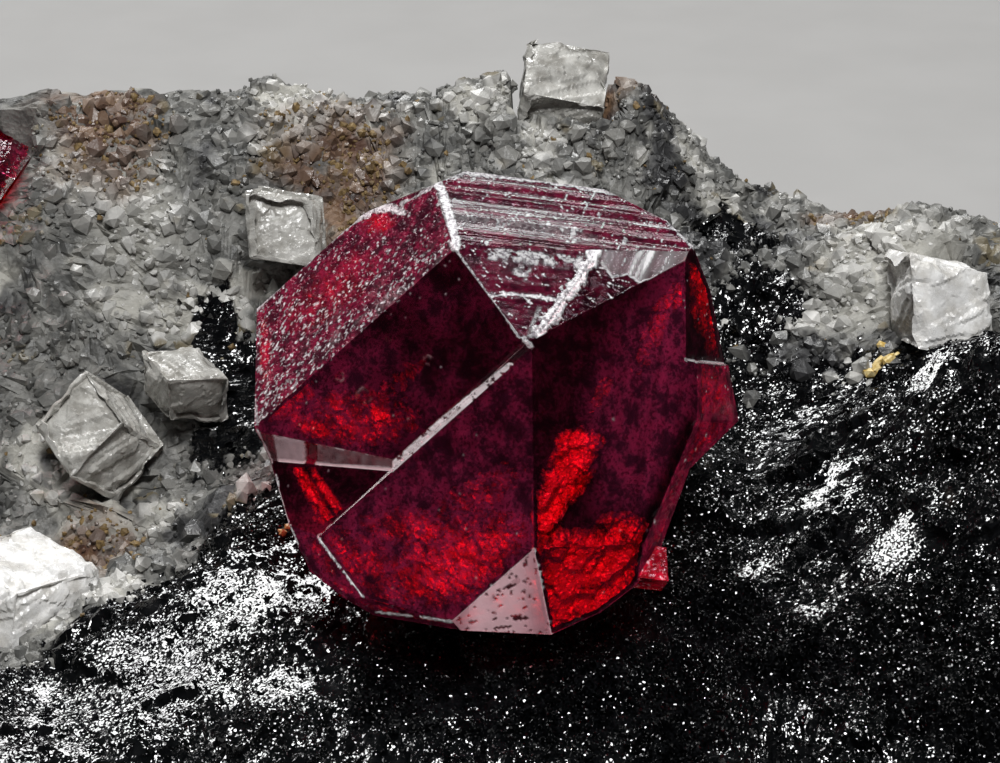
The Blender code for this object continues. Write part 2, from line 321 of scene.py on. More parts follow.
    def absorb(self, colour, density):
        """Colours the inside of glass."""
        inside = self.node("VolumeAbsorption", {"Color": (*colour, 1.0), "Density": density})
        self.tree.links.new(inside.outputs["Volume"], self.output.inputs["Volume"])


CINNABAR_IOR = 2.6
# How far fine growth lines turn the shading of the lifted facets upwards, off the pale floor.
LIFT = 0.22


def cinnabar_material():
    """Deep red clear cinnabar: dark haze under the skin, and pale abrasion with painted highlights and
    painted silvery reflections where a mask says.
    """
    it = Material("cinnabar_clear", IOR=CINNABAR_IOR, Specular_Tint=(0.060, 0.046, 0.053, 1.0))
    film, grain, haze = it.attribute("film"), it.attribute("grain"), it.attribute("haze")
    clouds = it.fit(it.noise(0.38, 6.0, 0.68), 0.36, 0.64)
    coarse = it.fit(grain, 0.24, 0.34)
    specks = it.fit(it.noise(0.07, 3.0, 0.65), 0.34, 0.60)
    pale_speckle = it.math("SUBTRACT", 1.0, it.times(coarse, it.math("SUBTRACT", 1.0, specks)))
    blush = it.attribute("blush")
    body = it.mix(clouds, (0.24, 0.026, 0.085), (0.52, 0.024, 0.105))
    body = it.mix(blush, body, it.mix(clouds, (0.30, 0.004, 0.018), (0.72, 0.008, 0.035)))
    pale = it.mix(pale_speckle, (0.46, 0.42, 0.46), (0.97, 0.96, 0.97))
    pale = it.mix(blush, pale, (0.88, 0.40, 0.47))
    veil = it.times(haze, it.fit(it.times(clouds, specks), 0.0, 0.6, 0.38, 1.0))
    # The pale mask is worn abrasion and also painted highlights and painted silvery reflections; where it is
    # set the glass turns pale and less clear.
    pale_cover = it.times(film, it.fit(pale_speckle, 0.0, 1.0, 0.62, 1.0))
    opaque = it.math("MINIMUM", it.math("MAXIMUM", pale_cover, veil), 1.0)
    it.set(Base_Color=it.mix(it.fit(film, 0.02, 0.30), body, pale))
    it.set(Transmission_Weight=it.math("SUBTRACT", 1.0, opaque))
    it.set(Roughness=it.math("MAXIMUM", it.times(grain, 0.42), it.times(film, 0.45)))
    scratches = it.noise(0.05, 2.0, 0.5)
    outward = it.bump(it.times(scratches, it.math("ADD", grain, 0.03)), 0.014)
    lift = it.vector("SCALE", (0.0, 0.0, LIFT), it.attribute("lifted"))
    it.set(Normal=it.vector("NORMALIZE", it.vector("ADD", outward, lift)))
    it.absorb((0.86, 0.0, 0.04), 3600.0)
    it.let_lamps_through((1.0, 0.55, 0.6))
    return it.material


def glow_material():
    """Cracks and inner faces that show through the crystal, their colour a painted glow: bright red where it
    glows, near black between.
    """
    it = Material("cinnabar_inner_painted_glow", Roughness=0.40, IOR=1.5, Metallic=0.40)
    painted_glow = it.attribute("painted_glow")
    blotch = it.fit(it.noise(0.10, 5.0, 0.7, twist=0.6), 0.38, 0.60, 0.35, 1.40)
    level = it.times(painted_glow, blotch)
    deep = it.mix(it.fit(level, 0.0, 0.36), (0.05, 0.0, 0.003), (0.85, 0.006, 0.035))
    it.set(Base_Color=it.mix(it.fit(level, 0.36, 0.75), deep, (1.0, 0.11, 0.13)))
    it.set(Normal=it.bump(it.noise(0.07, 2.0), 0.03))
    return it.material


# The way that the ore's small faces lie in its bright patches, and how far they stray there and in the dull
# ones.
GLINT_FACES = (-0.27, -0.28, 0.92)
GLINT_SPREAD, DULL_SPREAD = 0.10, 2.2
ORE_BLACK = (0.0012, 0.0014, 0.0018)


def ore_spread(it, loose):
    """How far small faces stray: little in bright patches, and in dull ones so far that few catch a lamp."""
    elsewhere = it.math("MAXIMUM", loose, it.times(it.attribute("dull"), DULL_SPREAD))
    return it.blend(it.attribute("glint"), elsewhere, GLINT_SPREAD)


def gangue_spots(it):
    """Shares of white grains and of dark grains in the gangue."""
    return it.noise(1.9, 3.0, 0.55), it.noise(2.3, 4.0, 0.6, turn=(40, 0, 70))


def ore_material():
    """The rock: black ore with small cleavage faces, and pale stained gangue where the pale mask says."""
    it = Material("ore_and_gangue", IOR=1.6)
    wander = it.math("SUBTRACT", it.noise(0.9, 5.0, 0.65), 0.5)
    pale = it.fit(it.math("ADD", it.attribute("pale"), it.times(wander, 1.3)), 0.40, 0.60)
    black = it.mix(it.fit(it.noise(0.35, 4.0), 0.40, 0.75), ORE_BLACK, (0.0055, 0.0058, 0.0066))
    black = it.mix(it.fit(it.noise(1.4, 4.0, 0.6), 0.64, 0.76), black, (0.016, 0.013, 0.011))
    white_spots, dark_spots = gangue_spots(it)
    white = (0.40, 0.39, 0.35)
    grey = it.mix(it.fit(it.noise(0.55, 5.0, 0.6), 0.35, 0.65), (0.070, 0.070, 0.066), (0.20, 0.197, 0.182))
    grey = it.mix(it.fit(white_spots, 0.52, 0.62), grey, white)
    grey = it.mix(it.fit(dark_spots, 0.54, 0.64), grey, (0.026, 0.026, 0.027))
    grey = it.mix(it.times(it.attribute("milky"), 0.6), grey, white)
    stain = it.mix(it.fit(it.noise(0.7, 3.0), 0.4, 0.6), (0.085, 0.036, 0.020), (0.19, 0.110, 0.060))
    stained = it.times(it.attribute("stain"), it.fit(it.noise(1.1, 4.0), 0.36, 0.6))
    it.set(Base_Color=it.mix(pale, black, it.mix(stained, grey, stain)))
    gloss = it.fit(it.noise(0.25, 3.0), 0.35, 0.65, 0.06, 0.16)
    matt = it.fit(it.noise(0.5, 3.0), 0.3, 0.7, 0.42, 0.75)
    it.set(Roughness=it.blend(pale, gloss, matt))
    crust = it.bump(it.noise(0.060, 3.0, 0.6), 0.020, it.bump(it.voronoi(0.13), 0.022))
    spread = ore_spread(it, it.fit(it.noise(2.2, 4.0, 0.6, turn=(30, 20, 0)), 0.49, 0.66, 0.12, 0.95))
    faces = it.glitter(0.040, spread, GLINT_FACES, it.times(it.attribute("glint"), 0.95))
    it.set(Normal=it.node("Mix", {0: pale, 4: faces, 5: crust}, data_type="VECTOR").outputs[1])
    return it.material


def ore_grain_material():
    """Black blocks that sparkle as the ore does."""
    it = Material("ore_grains_black", IOR=1.7)
    it.set(Base_Color=it.mix(it.fit(it.noise(0.3, 3.0), 0.4, 0.7), ORE_BLACK, (0.007, 0.0075, 0.0085)))
    it.set(Roughness=it.fit(it.noise(0.4, 3.0), 0.3, 0.7, 0.06, 0.14))
    share = it.times(it.attribute("glint"), 0.7)
    it.set(Normal=it.glitter(0.038, ore_spread(it, 0.44), GLINT_FACES, share))
    return it.material


def gangue_grain_material():
    """Calcite and quartz grains: white, grey and cream, stained brown near the rusty spots."""
    it = Material("gangue_grains_pale", IOR=1.55)
    tone = it.attribute("tone")
    shade = it.mix(tone, (0.095, 0.096, 0.092), (0.24, 0.236, 0.220))
    bright = it.mix(tone, (0.34, 0.335, 0.31), (0.66, 0.65, 0.62))
    white_spots, dark_spots = gangue_spots(it)
    shade = it.mix(it.fit(white_spots, 0.51, 0.60), shade, bright)
    shade = it.mix(it.fit(dark_spots, 0.54, 0.63), shade, (0.030, 0.030, 0.031))
    shade = it.mix(it.fit(it.noise(1.3, 2.0, 0.5, turn=(10, 80, 0)), 0.60, 0.68), shade, (0.17, 0.145, 0.095))
    shade = it.mix(it.times(it.attribute("milky"), 0.8), shade, bright)
    rust = it.mix(tone, (0.080, 0.034, 0.020), (0.19, 0.105, 0.055))
    it.set(Base_Color=it.mix(it.times(it.attribute("stain"), 0.8), shade, rust))
    it.set(Roughness=it.fit(it.noise(0.4, 3.0), 0.3, 0.7, 0.20, 0.50))
    it.set(Normal=it.bump(it.noise(0.08, 3.0, 0.6), 0.018))
    return it.material


def calcite_material():
    """Calcite, milky with clearer spots, and whiter where the bright mask says."""
    it = Material("calcite_milky", IOR=1.56)
    milk = it.fit(it.noise(0.5, 4.0, 0.6), 0.30, 0.64)
    grey = it.mix(milk, (0.20, 0.19, 0.165), (0.42, 0.41, 0.37))
    white = it.mix(milk, (0.66, 0.64, 0.60), (0.96, 0.955, 0.94))
    it.set(Base_Color=it.mix(it.attribute("bright"), grey, white))
    it.set(Transmission_Weight=it.fit(it.noise(0.7, 3.0, 0.5), 0.35, 0.65, 0.30, 0.03))
    it.set(Roughness=it.fit(it.noise(0.2, 3.0), 0.3, 0.7, 0.14, 0.34))
    it.set(Normal=it.bump(it.noise(0.08, 3.0, 0.6), 0.012))
    return it.material


def ochre_material():
    """Matt brown crumbs."""
    it = Material("ochre_crust", Roughness=0.6)
    shade = it.fit(it.noise(0.15, 4.0), 0.3, 0.7)
    it.set(Base_Color=it.mix(shade, (0.085, 0.050, 0.018), (0.26, 0.175, 0.070)))
    it.set(Normal=it.bump(it.noise(0.05, 3.0), 0.02))
    return it.material


def yellow_grain_material():
    """Pale yellow crumbs."""
    it = Material("yellow_grains", Roughness=0.35)
    shade = it.fit(it.noise(0.12, 3.0), 0.35, 0.65)
    it.set(Base_Color=it.mix(shade, (0.50, 0.33, 0.08), (0.85, 0.70, 0.36)))
    return it.material


def floor_material():
    """A plain pale grey."""
    it = Material("plain_floor", Roughness=0.55)
    shade = it.fit(it.noise(6.0, 3.0), 0.3, 0.7)
    it.set(Base_Color=it.mix(shade, (0.355, 0.35, 0.342), (0.375, 0.37, 0.362)))
    return it.material


# ---------------------------------------------------------------- crystal skins

class Facet:
    """One flat face of a crystal: its outward direction, and the corners and edges round it."""

    def __init__(self, faces):
        self.normal = np.array(max(faces, key=lambda face: face.calc_area()).normal)
        self.edges = [edge for face in faces for edge in face.edges]
        self.edges = [edge for edge in self.edges if self.edges.count(edge) == 1]
        self.edges = sorted(set(self.edges), key=lambda edge: edge.index)
        self.corners = np.array([edge.verts[end].co for edge in self.edges for end in (0, 1)])
        self.centre = self.corners.mean(0)
        across = np.cross(self.normal, (0.3, 0.2, 1.0) if abs(self.normal[2]) < 0.9 else (1.0, 0.1, 0.0))
        self.across = across / np.linalg.norm(across)
        self.up = np.cross(self.normal, self.across)

    def flat(self, points):
        """Places on the facet's plane."""
        return np.stack([(points - self.centre) @ self.across, (points - self.centre) @ self.up], -1)

    def solid(self, flat):
        """Points of the crystal's frame, from places on the facet's plane."""
        return self.centre + flat[:, :1] * self.across + flat[:, 1:] * self.up


# Faces whose directions agree to this cosine are one facet.
SAME_WAY = 0.99995


def facets_of(node, to_local):
    """The flat faces of a CAD node in millimetres of a crystal's own frame, and the mesh they belong to."""
    shape = bmesh.new()
    shape.from_mesh(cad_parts[node].data)
    bmesh.ops.transform(shape, matrix=to_local @ Matrix.Scale(1 / MM, 4), verts=shape.verts)
    bmesh.ops.remove_doubles(shape, verts=shape.verts, dist=0.001)
    bmesh.ops.dissolve_limit(shape, angle_limit=math.radians(0.6), verts=shape.verts, edges=shape.edges)
    shape.edges.index_update()
    waiting, groups = set(shape.faces), []
    for face in shape.faces:
        if face not in waiting:
            continue
        waiting.discard(face)
        group, front = [face], [face]
        while front:
            for edge in front.pop().edges:
                for other in edge.link_faces:
                    if other in waiting and other.normal.dot(face.normal) > SAME_WAY:
                        waiting.discard(other)
                        group.append(other)
                        front.append(other)
        groups.append(Facet(group))
    return groups, shape


def edge_distance(flat, starts, ends):
    """Distance of flat points from the nearest of these edges."""
    best = np.full(len(flat), np.inf)
    for start, end in zip(starts, ends):
        run = end - start
        t = np.clip((flat - start) @ run / max(run @ run, 1e-12), 0, 1)
        best = np.minimum(best, np.linalg.norm(flat - start - t[:, None] * run, axis=1))
    return best


# A triangular grid of points, in units of its spacing: distance between its rows, how far its points are
# shaken, and how far they stay from an edge.
ROW_STEP, SHAKE, EDGE_CLEAR = 0.87, 0.16, 0.55


def filling(starts, ends, spacing, seed):
    """Scattered points inside a flat outline, on a slightly shaken triangular grid."""
    low, high = np.minimum(starts.min(0), ends.min(0)), np.maximum(starts.max(0), ends.max(0))
    across = np.arange(low[0], high[0], spacing)
    rows = np.arange(low[1], high[1], spacing * ROW_STEP)
    x, y = np.meshgrid(across, rows)
    x = x + spacing / 2 * (np.arange(len(rows)) % 2)[:, None]
    flat = np.stack([x.ravel(), y.ravel()], -1)
    flat = flat + np.random.default_rng(seed).uniform(-SHAKE, SHAKE, flat.shape) * spacing
    flat = flat[within(flat, starts, ends)]
    return flat[edge_distance(flat, starts, ends) > EDGE_CLEAR * spacing]


# Facets with points closer than this get a row of points beside each edge, this far from it.
EDGE_ROW_SPACING, EDGE_ROW = 0.1, 0.028
# Twice the area of the smallest triangle kept. The points of a straight edge are not quite in line, which
# leaves slivers along it.
SLIVER = 1e-6
# Points nearer to each other than this are the same to the triangulation.
SAME_POINT = 1e-7
# Height and wear fade within these distances of an edge.
RELIEF_FADE, WEAR_REACH = 0.05, 0.07
# What the relief of a facet gives besides its height, each from 0 to 1 and 0 where it isn't named: white
# abrasion together with painted highlights and painted silvery reflections, roughness, clouding, a turn of
# the colour to red, and shading turned upwards.
MASKS = ("film", "grain", "haze", "blush", "lifted")


def edge_row(run, starts, ends):
    """A row of points just inside an edge, so that the thin bright line along it stays thin."""
    way = (run[-1] - run[0]) / np.linalg.norm(run[-1] - run[0])
    aside = EDGE_ROW * np.array([-way[1], way[0]])
    row = np.vstack([run[1:-1] + aside, run[1:-1] - aside])
    row = row[within(row, starts, ends)]
    return row[edge_distance(row, starts, ends) > 0.9 * EDGE_ROW] if len(row) else row


def inner_triangles(flat, edges, starts, ends):
    """Triangles between flat points, inside the outline and all turning left, without slivers."""
    made = delaunay_2d_cdt([Vector(point) for point in flat], edges, [], 0, SAME_POINT)
    origin = [sources[0] if sources else None for sources in made[3]]
    placed = np.array([tuple(point) for point in made[0]])
    corners = np.array([list(face) for face in made[2]])
    a, b, c = (placed[corners[:, place]] for place in range(3))
    area = (b[:, 0] - a[:, 0]) * (c[:, 1] - a[:, 1]) - (b[:, 1] - a[:, 1]) * (c[:, 0] - a[:, 0])
    keep = within(placed[corners].mean(1), starts, ends) & (np.abs(area) > SLIVER)
    named = [[origin[corner] for corner in face] for face in corners[keep]]
    turned_left = [face if turn > 0 else face[::-1] for face, turn in zip(named, area[keep])]
    return [face for face in turned_left if None not in face]


class Skin:
    """A crystal's surface: every facet filled with fine triangles and then given its relief."""

    def __init__(self, node, to_local, spacing_of):
        self.facets, self.shape = facets_of(node, to_local)
        self.spacing = [spacing_of(facet) for facet in self.facets]
        self.points, self.triangles, self.used = [], [], []
        self.corner, self.shared, finest = {}, {}, {}
        for facet, spacing in zip(self.facets, self.spacing):
            for edge in facet.edges:
                finest[edge.index] = min(spacing, finest.get(edge.index, np.inf))
        for number, facet in enumerate(self.facets):
            self.fill(number, facet, finest)
        self.points = np.array(self.points)
        self.rest = self.points.copy()

    def corner_index(self, vertex):
        """The point number of a CAD corner."""
        if vertex.index not in self.corner:
            self.corner[vertex.index] = len(self.points)
            self.points.append(np.array(vertex.co))
        return self.corner[vertex.index]

    def edge_points(self, edge, spacing):
        """Point numbers along an edge, the same for both of its facets."""
        if edge.index not in self.shared:
            first, last = (self.corner_index(vertex) for vertex in edge.verts)
            count = max(1, math.ceil(edge.calc_length() / spacing))
            start, end = self.points[first], self.points[last]
            middle = []
            for step in range(1, count):
                middle.append(len(self.points))
                self.points.append(start + (end - start) * step / count)
            self.shared[edge.index] = [first, *middle, last]
        return self.shared[edge.index]

    def fill(self, number, facet, finest):
        """Triangles between a facet's edge points and the points scattered inside it."""
        runs = [self.edge_points(edge, finest[edge.index]) for edge in facet.edges]
        rim = sorted({index for run in runs for index in run})
        local = {index: place for place, index in enumerate(rim)}
        rim_flat = facet.flat(np.array([self.points[index] for index in rim]))
        starts = np.array([rim_flat[local[run[0]]] for run in runs])
        ends = np.array([rim_flat[local[run[-1]]] for run in runs])
        inner = filling(starts, ends, self.spacing[number], number)
        if self.spacing[number] < EDGE_ROW_SPACING:
            rows = [edge_row(rim_flat[[local[index] for index in run]], starts, ends) for run in runs]
            inner = np.vstack([inner, *rows])
        first = len(self.points)
        self.points.extend(facet.solid(inner))
        index = rim + list(range(first, len(self.points)))
        edges = [(local[a], local[b]) for run in runs for a, b in zip(run, run[1:])]
        for triangle in inner_triangles(np.vstack([rim_flat, inner]), edges, starts, ends):
            self.triangles.append([index[corner] for corner in triangle])
        distance = np.concatenate([np.zeros(len(rim)), edge_distance(inner, starts, ends)])
        self.used.append((np.array(index), distance))

    def relieve(self, detail, chips, reach=WEAR_REACH):
        """Moves the points by each facet's relief, which fades out at its edges, and wears the edges back."""
        total = {name: np.zeros(len(self.points)) for name in MASKS}
        push, owners = np.zeros_like(self.points), np.zeros(len(self.points))
        worn = chips(self.rest)
        for facet, (index, distance) in zip(self.facets, self.used):
            height, masks = detail(facet, self.rest[index])
            near = np.exp(-((distance / reach) ** 2))
            height = height * smooth_step(0.0, RELIEF_FADE, distance) - worn[index] * near
            push[index] += height[:, None] * facet.normal
            owners[index] += 1
            for name, values in masks.items():
                total[name][index] = np.maximum(total[name][index], values)
        self.points = self.rest + push / owners[:, None]
        return total

    def build(self, name, to_world, material, masks):
        """The finished mesh with its masks."""
        item = make_mesh(name, moved(self.points, to_world), self.triangles, material)
        for mask, values in masks.items():
            add_attribute(item, mask, values)
        self.shape.free()
        return item


# ---------------------------------------------------------------- faces of the large crystal

# Facets that the photograph shows: outward direction and spacing of the fine points.
FACETS = {
    "rough": ((-0.67, 0.55, 0.50), 0.042),
    "dark": ((-0.45, 0.11, 0.89), 0.060),
    "striated": ((0.10, 0.84, 0.53), 0.042),
    "purple": ((0.16, 0.53, 0.83), 0.036),
    "glowing": ((0.47, 0.01, 0.89), 0.075),
    "glowing_low": ((0.45, -0.26, 0.85), 0.08),
    "step": ((-0.04, -0.36, 0.93), 0.036),
    "cheek": ((0.87, 0.01, 0.50), 0.045),
    "cheek_low": ((0.83, -0.26, 0.49), 0.08),
    "lower_front": ((-0.36, 0.0, 0.93), 0.06),
    "waist": ((-0.48, 0.18, 0.86), 0.06),
    "ledge": ((-0.49, -0.34, 0.81), 0.040),
    "left_low": ((-0.57, -0.21, 0.79), 0.038),
    "foot": ((-0.40, -0.62, 0.67), 0.045),
    "brow": ((-0.39, 0.92, 0.10), 0.06),
}
# Facets whose shading is turned upwards.
LIFTED = ("glowing_low", "cheek", "cheek_low", "left_low")
HIDDEN_SPACING, FINE_SPACING = 0.22, 0.05
# A facet has one of the directions above when they agree to this cosine.
DIRECTION_MATCH = 0.9985
# The chin faces the same way as the step, but lies below this height.
STEP_OR_CHIN = -2.6
# The little crystal on the lower right corner: its middle, how far its facets' middles lie from that, and the
# longest side of a facet.
BUD_CENTRE, BUD_REACH, BUD_SIZE = np.array((2.90, -3.70, 1.90)), 0.75, 1.2

# Lines of the photograph, in its pixels: chipped edges made bright with painted highlights, as points, half
# width and strength.
BRIGHT_LINES = (
    (((439, 184), (446, 200), (451, 222), (456, 246)), 4.8, 1.0),
    (((456, 250), (478, 280), (500, 310), (520, 338)), 1.2, 0.45),
    (((524, 338), (530, 346)), 3.0, 0.55),
    (((257, 309), (290, 276), (330, 241), (362, 216)), 2.2, 0.60),
    (((362, 216), (372, 210), (388, 207), (402, 212)), 4.2, 0.85),
    (((402, 204), (420, 194), (438, 183)), 2.0, 0.55),
    (((440, 180), (466, 172), (500, 176), (545, 181), (604, 190)), 2.0, 0.60),
    (((604, 190), (636, 198), (668, 221), (694, 248)), 2.0, 0.45),
    (((318, 537), (334, 560), (363, 597)), 1.0, 1.0),
    (((276, 476), (283, 508), (298, 545)), 1.0, 0.55),
    (((376, 612), (394, 614), (412, 616)), 1.1, 0.9),
    (((420, 617), (440, 620), (452, 622)), 1.1, 1.0),
    (((686, 360), (726, 364)), 0.8, 0.70),
    (((255, 400), (258, 432), (272, 462)), 1.5, 0.35),
    (((534, 549), (551, 635)), 1.0, 0.60),
    (((453, 621), (492, 586), (534, 550)), 0.9, 0.55),
)
# The chipped ridge on the upper front face, white with a painted highlight, the lower edge of the silvery
# facet right of it, and a curved step.
RIDGE = ((598, 246), (590, 262), (578, 281), (563, 300), (551, 318), (538, 333))
SILVER_EDGE = ((602, 262), (612, 276), (628, 273), (640, 281), (656, 276), (672, 270), (688, 262))
CURVED_LINE = ((488, 296), (512, 294), (540, 297), (558, 300))
# The blunt edge that the glow crosses unbroken.
SEAM = ((541, 549.7), (637, 545.3))
# The border between the rough and the dark face, the riser below the dark one, bright with a painted
# highlight, and the ledge's lower edge.
ROUGH_BORDER = ((258, 420), (330, 345), (454, 249))
RISER = ((394, 467), (450, 417), (510, 368))
LEDGE_EDGE = ((270, 460), (330, 466), (393, 470))
# The plum-coloured part of the right front face, how soft its border is, and dark streaks with their reach.
PLUM_AREA = ((592, 400), (625, 325), (684, 275), (694, 440), (650, 520), (606, 500))
PLUM_SOFTNESS = 60.0
DARK_STREAKS = ((((588, 478), (566, 504), (548, 532)), 9.0), (((690, 425), (668, 480), (640, 545)), 9.0))
# Round pits: middle and radius.
PITS = ((364, 395, 7.0), (428, 360, 4.5), (340, 377, 4.0), (300, 372, 2.5), (388, 340, 2.5), (410, 421, 3.0))
# The ways that growth lines and scratches run, each from one pixel to another.
STRIAE = ((466, 200), (620, 219))
LONG_SCRATCHES, STEEP_SCRATCHES = ((500, 240), (560, 180)), ((560, 215), (566, 200))
PURPLE_BANDS = ((490, 255), (590, 262))
SILVER_STREAKS = ((634, 262), (643, 240))
STAR_MIDDLE, STAR_ENDS = (530, 275), ((540, 292), (560, 262), (505, 250), (575, 283))
GLOWING_STRIAE = ((620, 500), (640, 330))
FRONT_GROWTH = ((393, 471), (513, 366))
CHIN_MARKS = ((470, 610), (530, 600))
# Lines that run slightly down to the right, as a column and the rows they drop per column.
STRIAE_SLANT, PURPLE_SLANT = (466, 0.12), (500, 0.10)
# The ledge's crest, as a column, its row there and the rows it drops per column; and the ledge's left rim, as
# a column, its row there and the columns it moves right per row.
LEDGE_CREST, LEDGE_RIM = (305, 440, 0.16), (270, 433, 0.20)
# Where masks fade, across columns or down rows: the pixel where they are 0 and the one where they are 1.
COLUMN, ROW = 0, 1
FADES = {
    "rough_low_left": (COLUMN, 330, 262),
    "dark_left": (COLUMN, 470, 300),
    "dark_low": (ROW, 300, 420),
    "striated_redder": (COLUMN, 540, 640),
    "cream_left": (COLUMN, 478, 492),
    "tip_left": (COLUMN, 520, 535),
    "glowing_red_right": (COLUMN, 640, 684),
    "glowing_red_up": (ROW, 420, 330),
    "front_up": (ROW, 520, 440),
    "front_left": (COLUMN, 460, 380),
    "chin_right": (COLUMN, 508, 548),
    "chin_left": (COLUMN, 482, 455),
    "gap_left": (COLUMN, 303, 306),
    "gap_right": (COLUMN, 318, 313),
    "bud_left": (COLUMN, 654, 648),
    "cheek_below_step": (ROW, 361, 364),
    "waist_low": (ROW, 490, 530),
}
# Rows along the slanted lines: the clear band of the striated face with its reach, and its lower border; the
# cream band of the upper front face, its lower tip and the silvery facet's top.
CLEAR_BAND, CLEAR_BAND_REACH, STRIATED_END = 184, 5.0, (226, 233)
CREAM_TOP, CREAM_END, TIP_TOP, SILVER_TOP = (246, 250), (264, 258), (300, 306), 250
# A lit patch of the upper front face: middle and half lengths.
LIT_PATCH, LIT_PATCH_HALVES = (523, 273), (9, 7)
# Size of the rough face's bright flecks.
FLECK = 0.060


def facet_name(facet):
    """Which of the photograph's facets this is, or hidden."""
    size = np.ptp(facet.corners, axis=0).max()
    if np.linalg.norm(facet.centre - BUD_CENTRE) < BUD_REACH and size < BUD_SIZE:
        return "bud"
    for name, (direction, _) in FACETS.items():
        if facet.normal @ np.array(direction) > DIRECTION_MATCH * np.linalg.norm(direction):
            return "chin" if name == "step" and facet.centre[1] < STEP_OR_CHIN else name
    return "hidden"


def facet_spacing(facet):
    """Distance between a facet's fine points."""
    name = facet_name(facet)
    if name in ("chin", "bud"):
        return FINE_SPACING
    return FACETS[name][1] if name in FACETS else HIDDEN_SPACING


def highest(*layers):
    """The greatest of several masks at each point."""
    result = layers[0]
    for layer in layers[1:]:
        result = np.maximum(result, layer)
    return result


def fade(seen, name):
    """The mask of this name in FADES."""
    axis, none, full = FADES[name]
    return smooth_step(none, full, seen[:, axis])


def slanted_row(seen, slant):
    """Pixel rows counted along a slanted line."""
    column, slope = slant
    return seen[:, 1] - slope * (seen[:, 0] - column)


def line_row(seen, line):
    """The row where a line of the photograph crosses each point's column."""
    return np.interp(seen[:, 0], [point[0] for point in line], [point[1] for point in line])


def line_column(seen, line):
    """The column where a line of the photograph crosses each point's row."""
    return np.interp(seen[:, 1], [point[1] for point in line], [point[0] for point in line])


def broken_line(seen, line, half_width, seed):
    """A ragged line, 1 along its middle."""
    distance = line_distance(seen, line)
    spread = np.stack([seen[:, 0], seen[:, 1], np.zeros(len(seen))], -1)
    ragged = half_width * (1 + 0.55 * noise(spread, 7.0, seed, 2) + 0.35 * noise(spread, 3.0, seed + 5))
    return smooth_step(1.15, 0.55, distance / np.maximum(ragged, 0.4))


def bright_lines(seen):
    """The chipped edges, pale with painted highlights."""
    return highest(*(strength * broken_line(seen, line, half_width, 40 + number)
                     for number, (line, half_width, strength) in enumerate(BRIGHT_LINES)))


def stripes(points, along, normal, size, seed, stretch, octaves):
    """Noise drawn out along one direction of a facet."""
    across = np.cross(normal, along)
    drawn = np.stack([points @ across, points @ along / stretch, np.zeros(len(points))], -1)
    return noise(drawn, size, seed, octaves)


def ray_to_facet(seen, facet):
    """Where the camera rays through these pixels meet a facet, and their directions inside the crystal."""
    eye = np.array([0.0, 0.0, CAMERA_DISTANCE])
    across = (seen[:, 0] - PHOTO_WIDTH / 2) / FOCAL_PIXELS
    up = (PHOTO_HEIGHT / 2 - seen[:, 1]) / FOCAL_PIXELS
    rays = np.stack([across, up, -np.ones(len(seen))], -1)
    rays /= np.linalg.norm(rays, axis=1)[:, None]
    far = ((facet.centre - eye) @ facet.normal) / (rays @ facet.normal)
    bent = rays / CINNABAR_IOR
    slow = bent - (bent @ facet.normal)[:, None] * facet.normal
    inward = -np.sqrt(1 - np.einsum("ij,ij->i", slow, slow))
    return eye + rays * far[:, None], slow + inward[:, None] * facet.normal


def seen_direction(facet, start, end):
    """The direction within a facet that the photograph shows running from one pixel to another."""
    ends, _ = ray_to_facet(np.array([start, end], float), facet)
    way = ends[1] - ends[0]
    return way / np.linalg.norm(way)


def seen_stripes(facet, points, way, size, seed, stretch, octaves):
    """Noise drawn out along the way that the photograph shows."""
    return stripes(points, seen_direction(facet, *way), facet.normal, size, seed, stretch, octaves)


def flecks(points, size, share, seed):
    """Scattered flecks that cover about this share of a surface."""
    _, owner, border = cells(points, size, seed)
    return (hashed(owner, seed + 3) < share) * smooth_step(0.05, 0.25, border)


def pitted(seen):
    """The pits with their raised rims: the height, and 1 on the rims."""
    hollow, rims = np.zeros(len(seen)), np.zeros(len(seen))
    for across, down, radius in PITS:
        away = np.hypot(seen[:, 0] - across, seen[:, 1] - down) / radius
        hollow += np.exp(-((away / 0.75) ** 2))
        rims += np.exp(-(((away - 1.0) / 0.28) ** 2))
    return 0.6 * rims - hollow, rims


def rough_relief(facet, points, seen):
    """Crusted growth face with pale flecks, partly painted sparkle, paler towards its lower border and its
    lower left.
    """
    height = 0.018 * facets(points, 0.085, 3, 1.2) + 0.014 * facets(points, 0.24, 5)
    height += 0.012 * noise(points, 0.6, 7)
    border = line_distance(seen, ROUGH_BORDER)
    dense = 0.03 + 0.26 * np.exp(-border / 24.0) + 0.20 * fade(seen, "rough_low_left")
    dense += 0.20 * noise(points, 0.50, 9, 3)
    slim = points * (1, 0.62, 1)
    tone = 0.50 + 0.50 * hashed(cells(slim, FLECK, 13)[1], 17)
    film = flecks(slim, FLECK, np.clip(0.85 * dense, 0.02, 1), 13) * tone
    pale_near_border = np.exp(-border / 30.0) * smooth_step(-0.3, 0.5, noise(points, 0.3, 11, 2))
    return height, {"film": highest(film, 0.13 * pale_near_border), "grain": 0.70, "haze": 0.36, "blush": 0.16}


def dark_relief(facet, points, seen):
    """Smooth dark face with a few pits, clouded at its lower left."""
    pits, rims = pitted(seen)
    height = 0.004 * noise(points, 0.7, 21, 2) + 0.022 * pits - 0.010 * flecks(points, 0.11, 0.06, 23)
    border = line_distance(seen, ROUGH_BORDER)
    film = highest(0.22 * flecks(points, 0.05, 0.004 + 0.08 * np.exp(-border / 8.0), 25),
                   0.20 * rims * smooth_step(-0.5, 0.3, noise(points, 0.12, 26)))
    cloudy = smooth_step(-0.2, 0.6, noise(points, 0.55, 27, 3))
    haze = 0.05 + 0.08 * cloudy + 0.14 * fade(seen, "dark_left") * fade(seen, "dark_low")
    return height, {"film": film, "grain": 0.10, "blush": 0.7 * rims, "haze": haze}


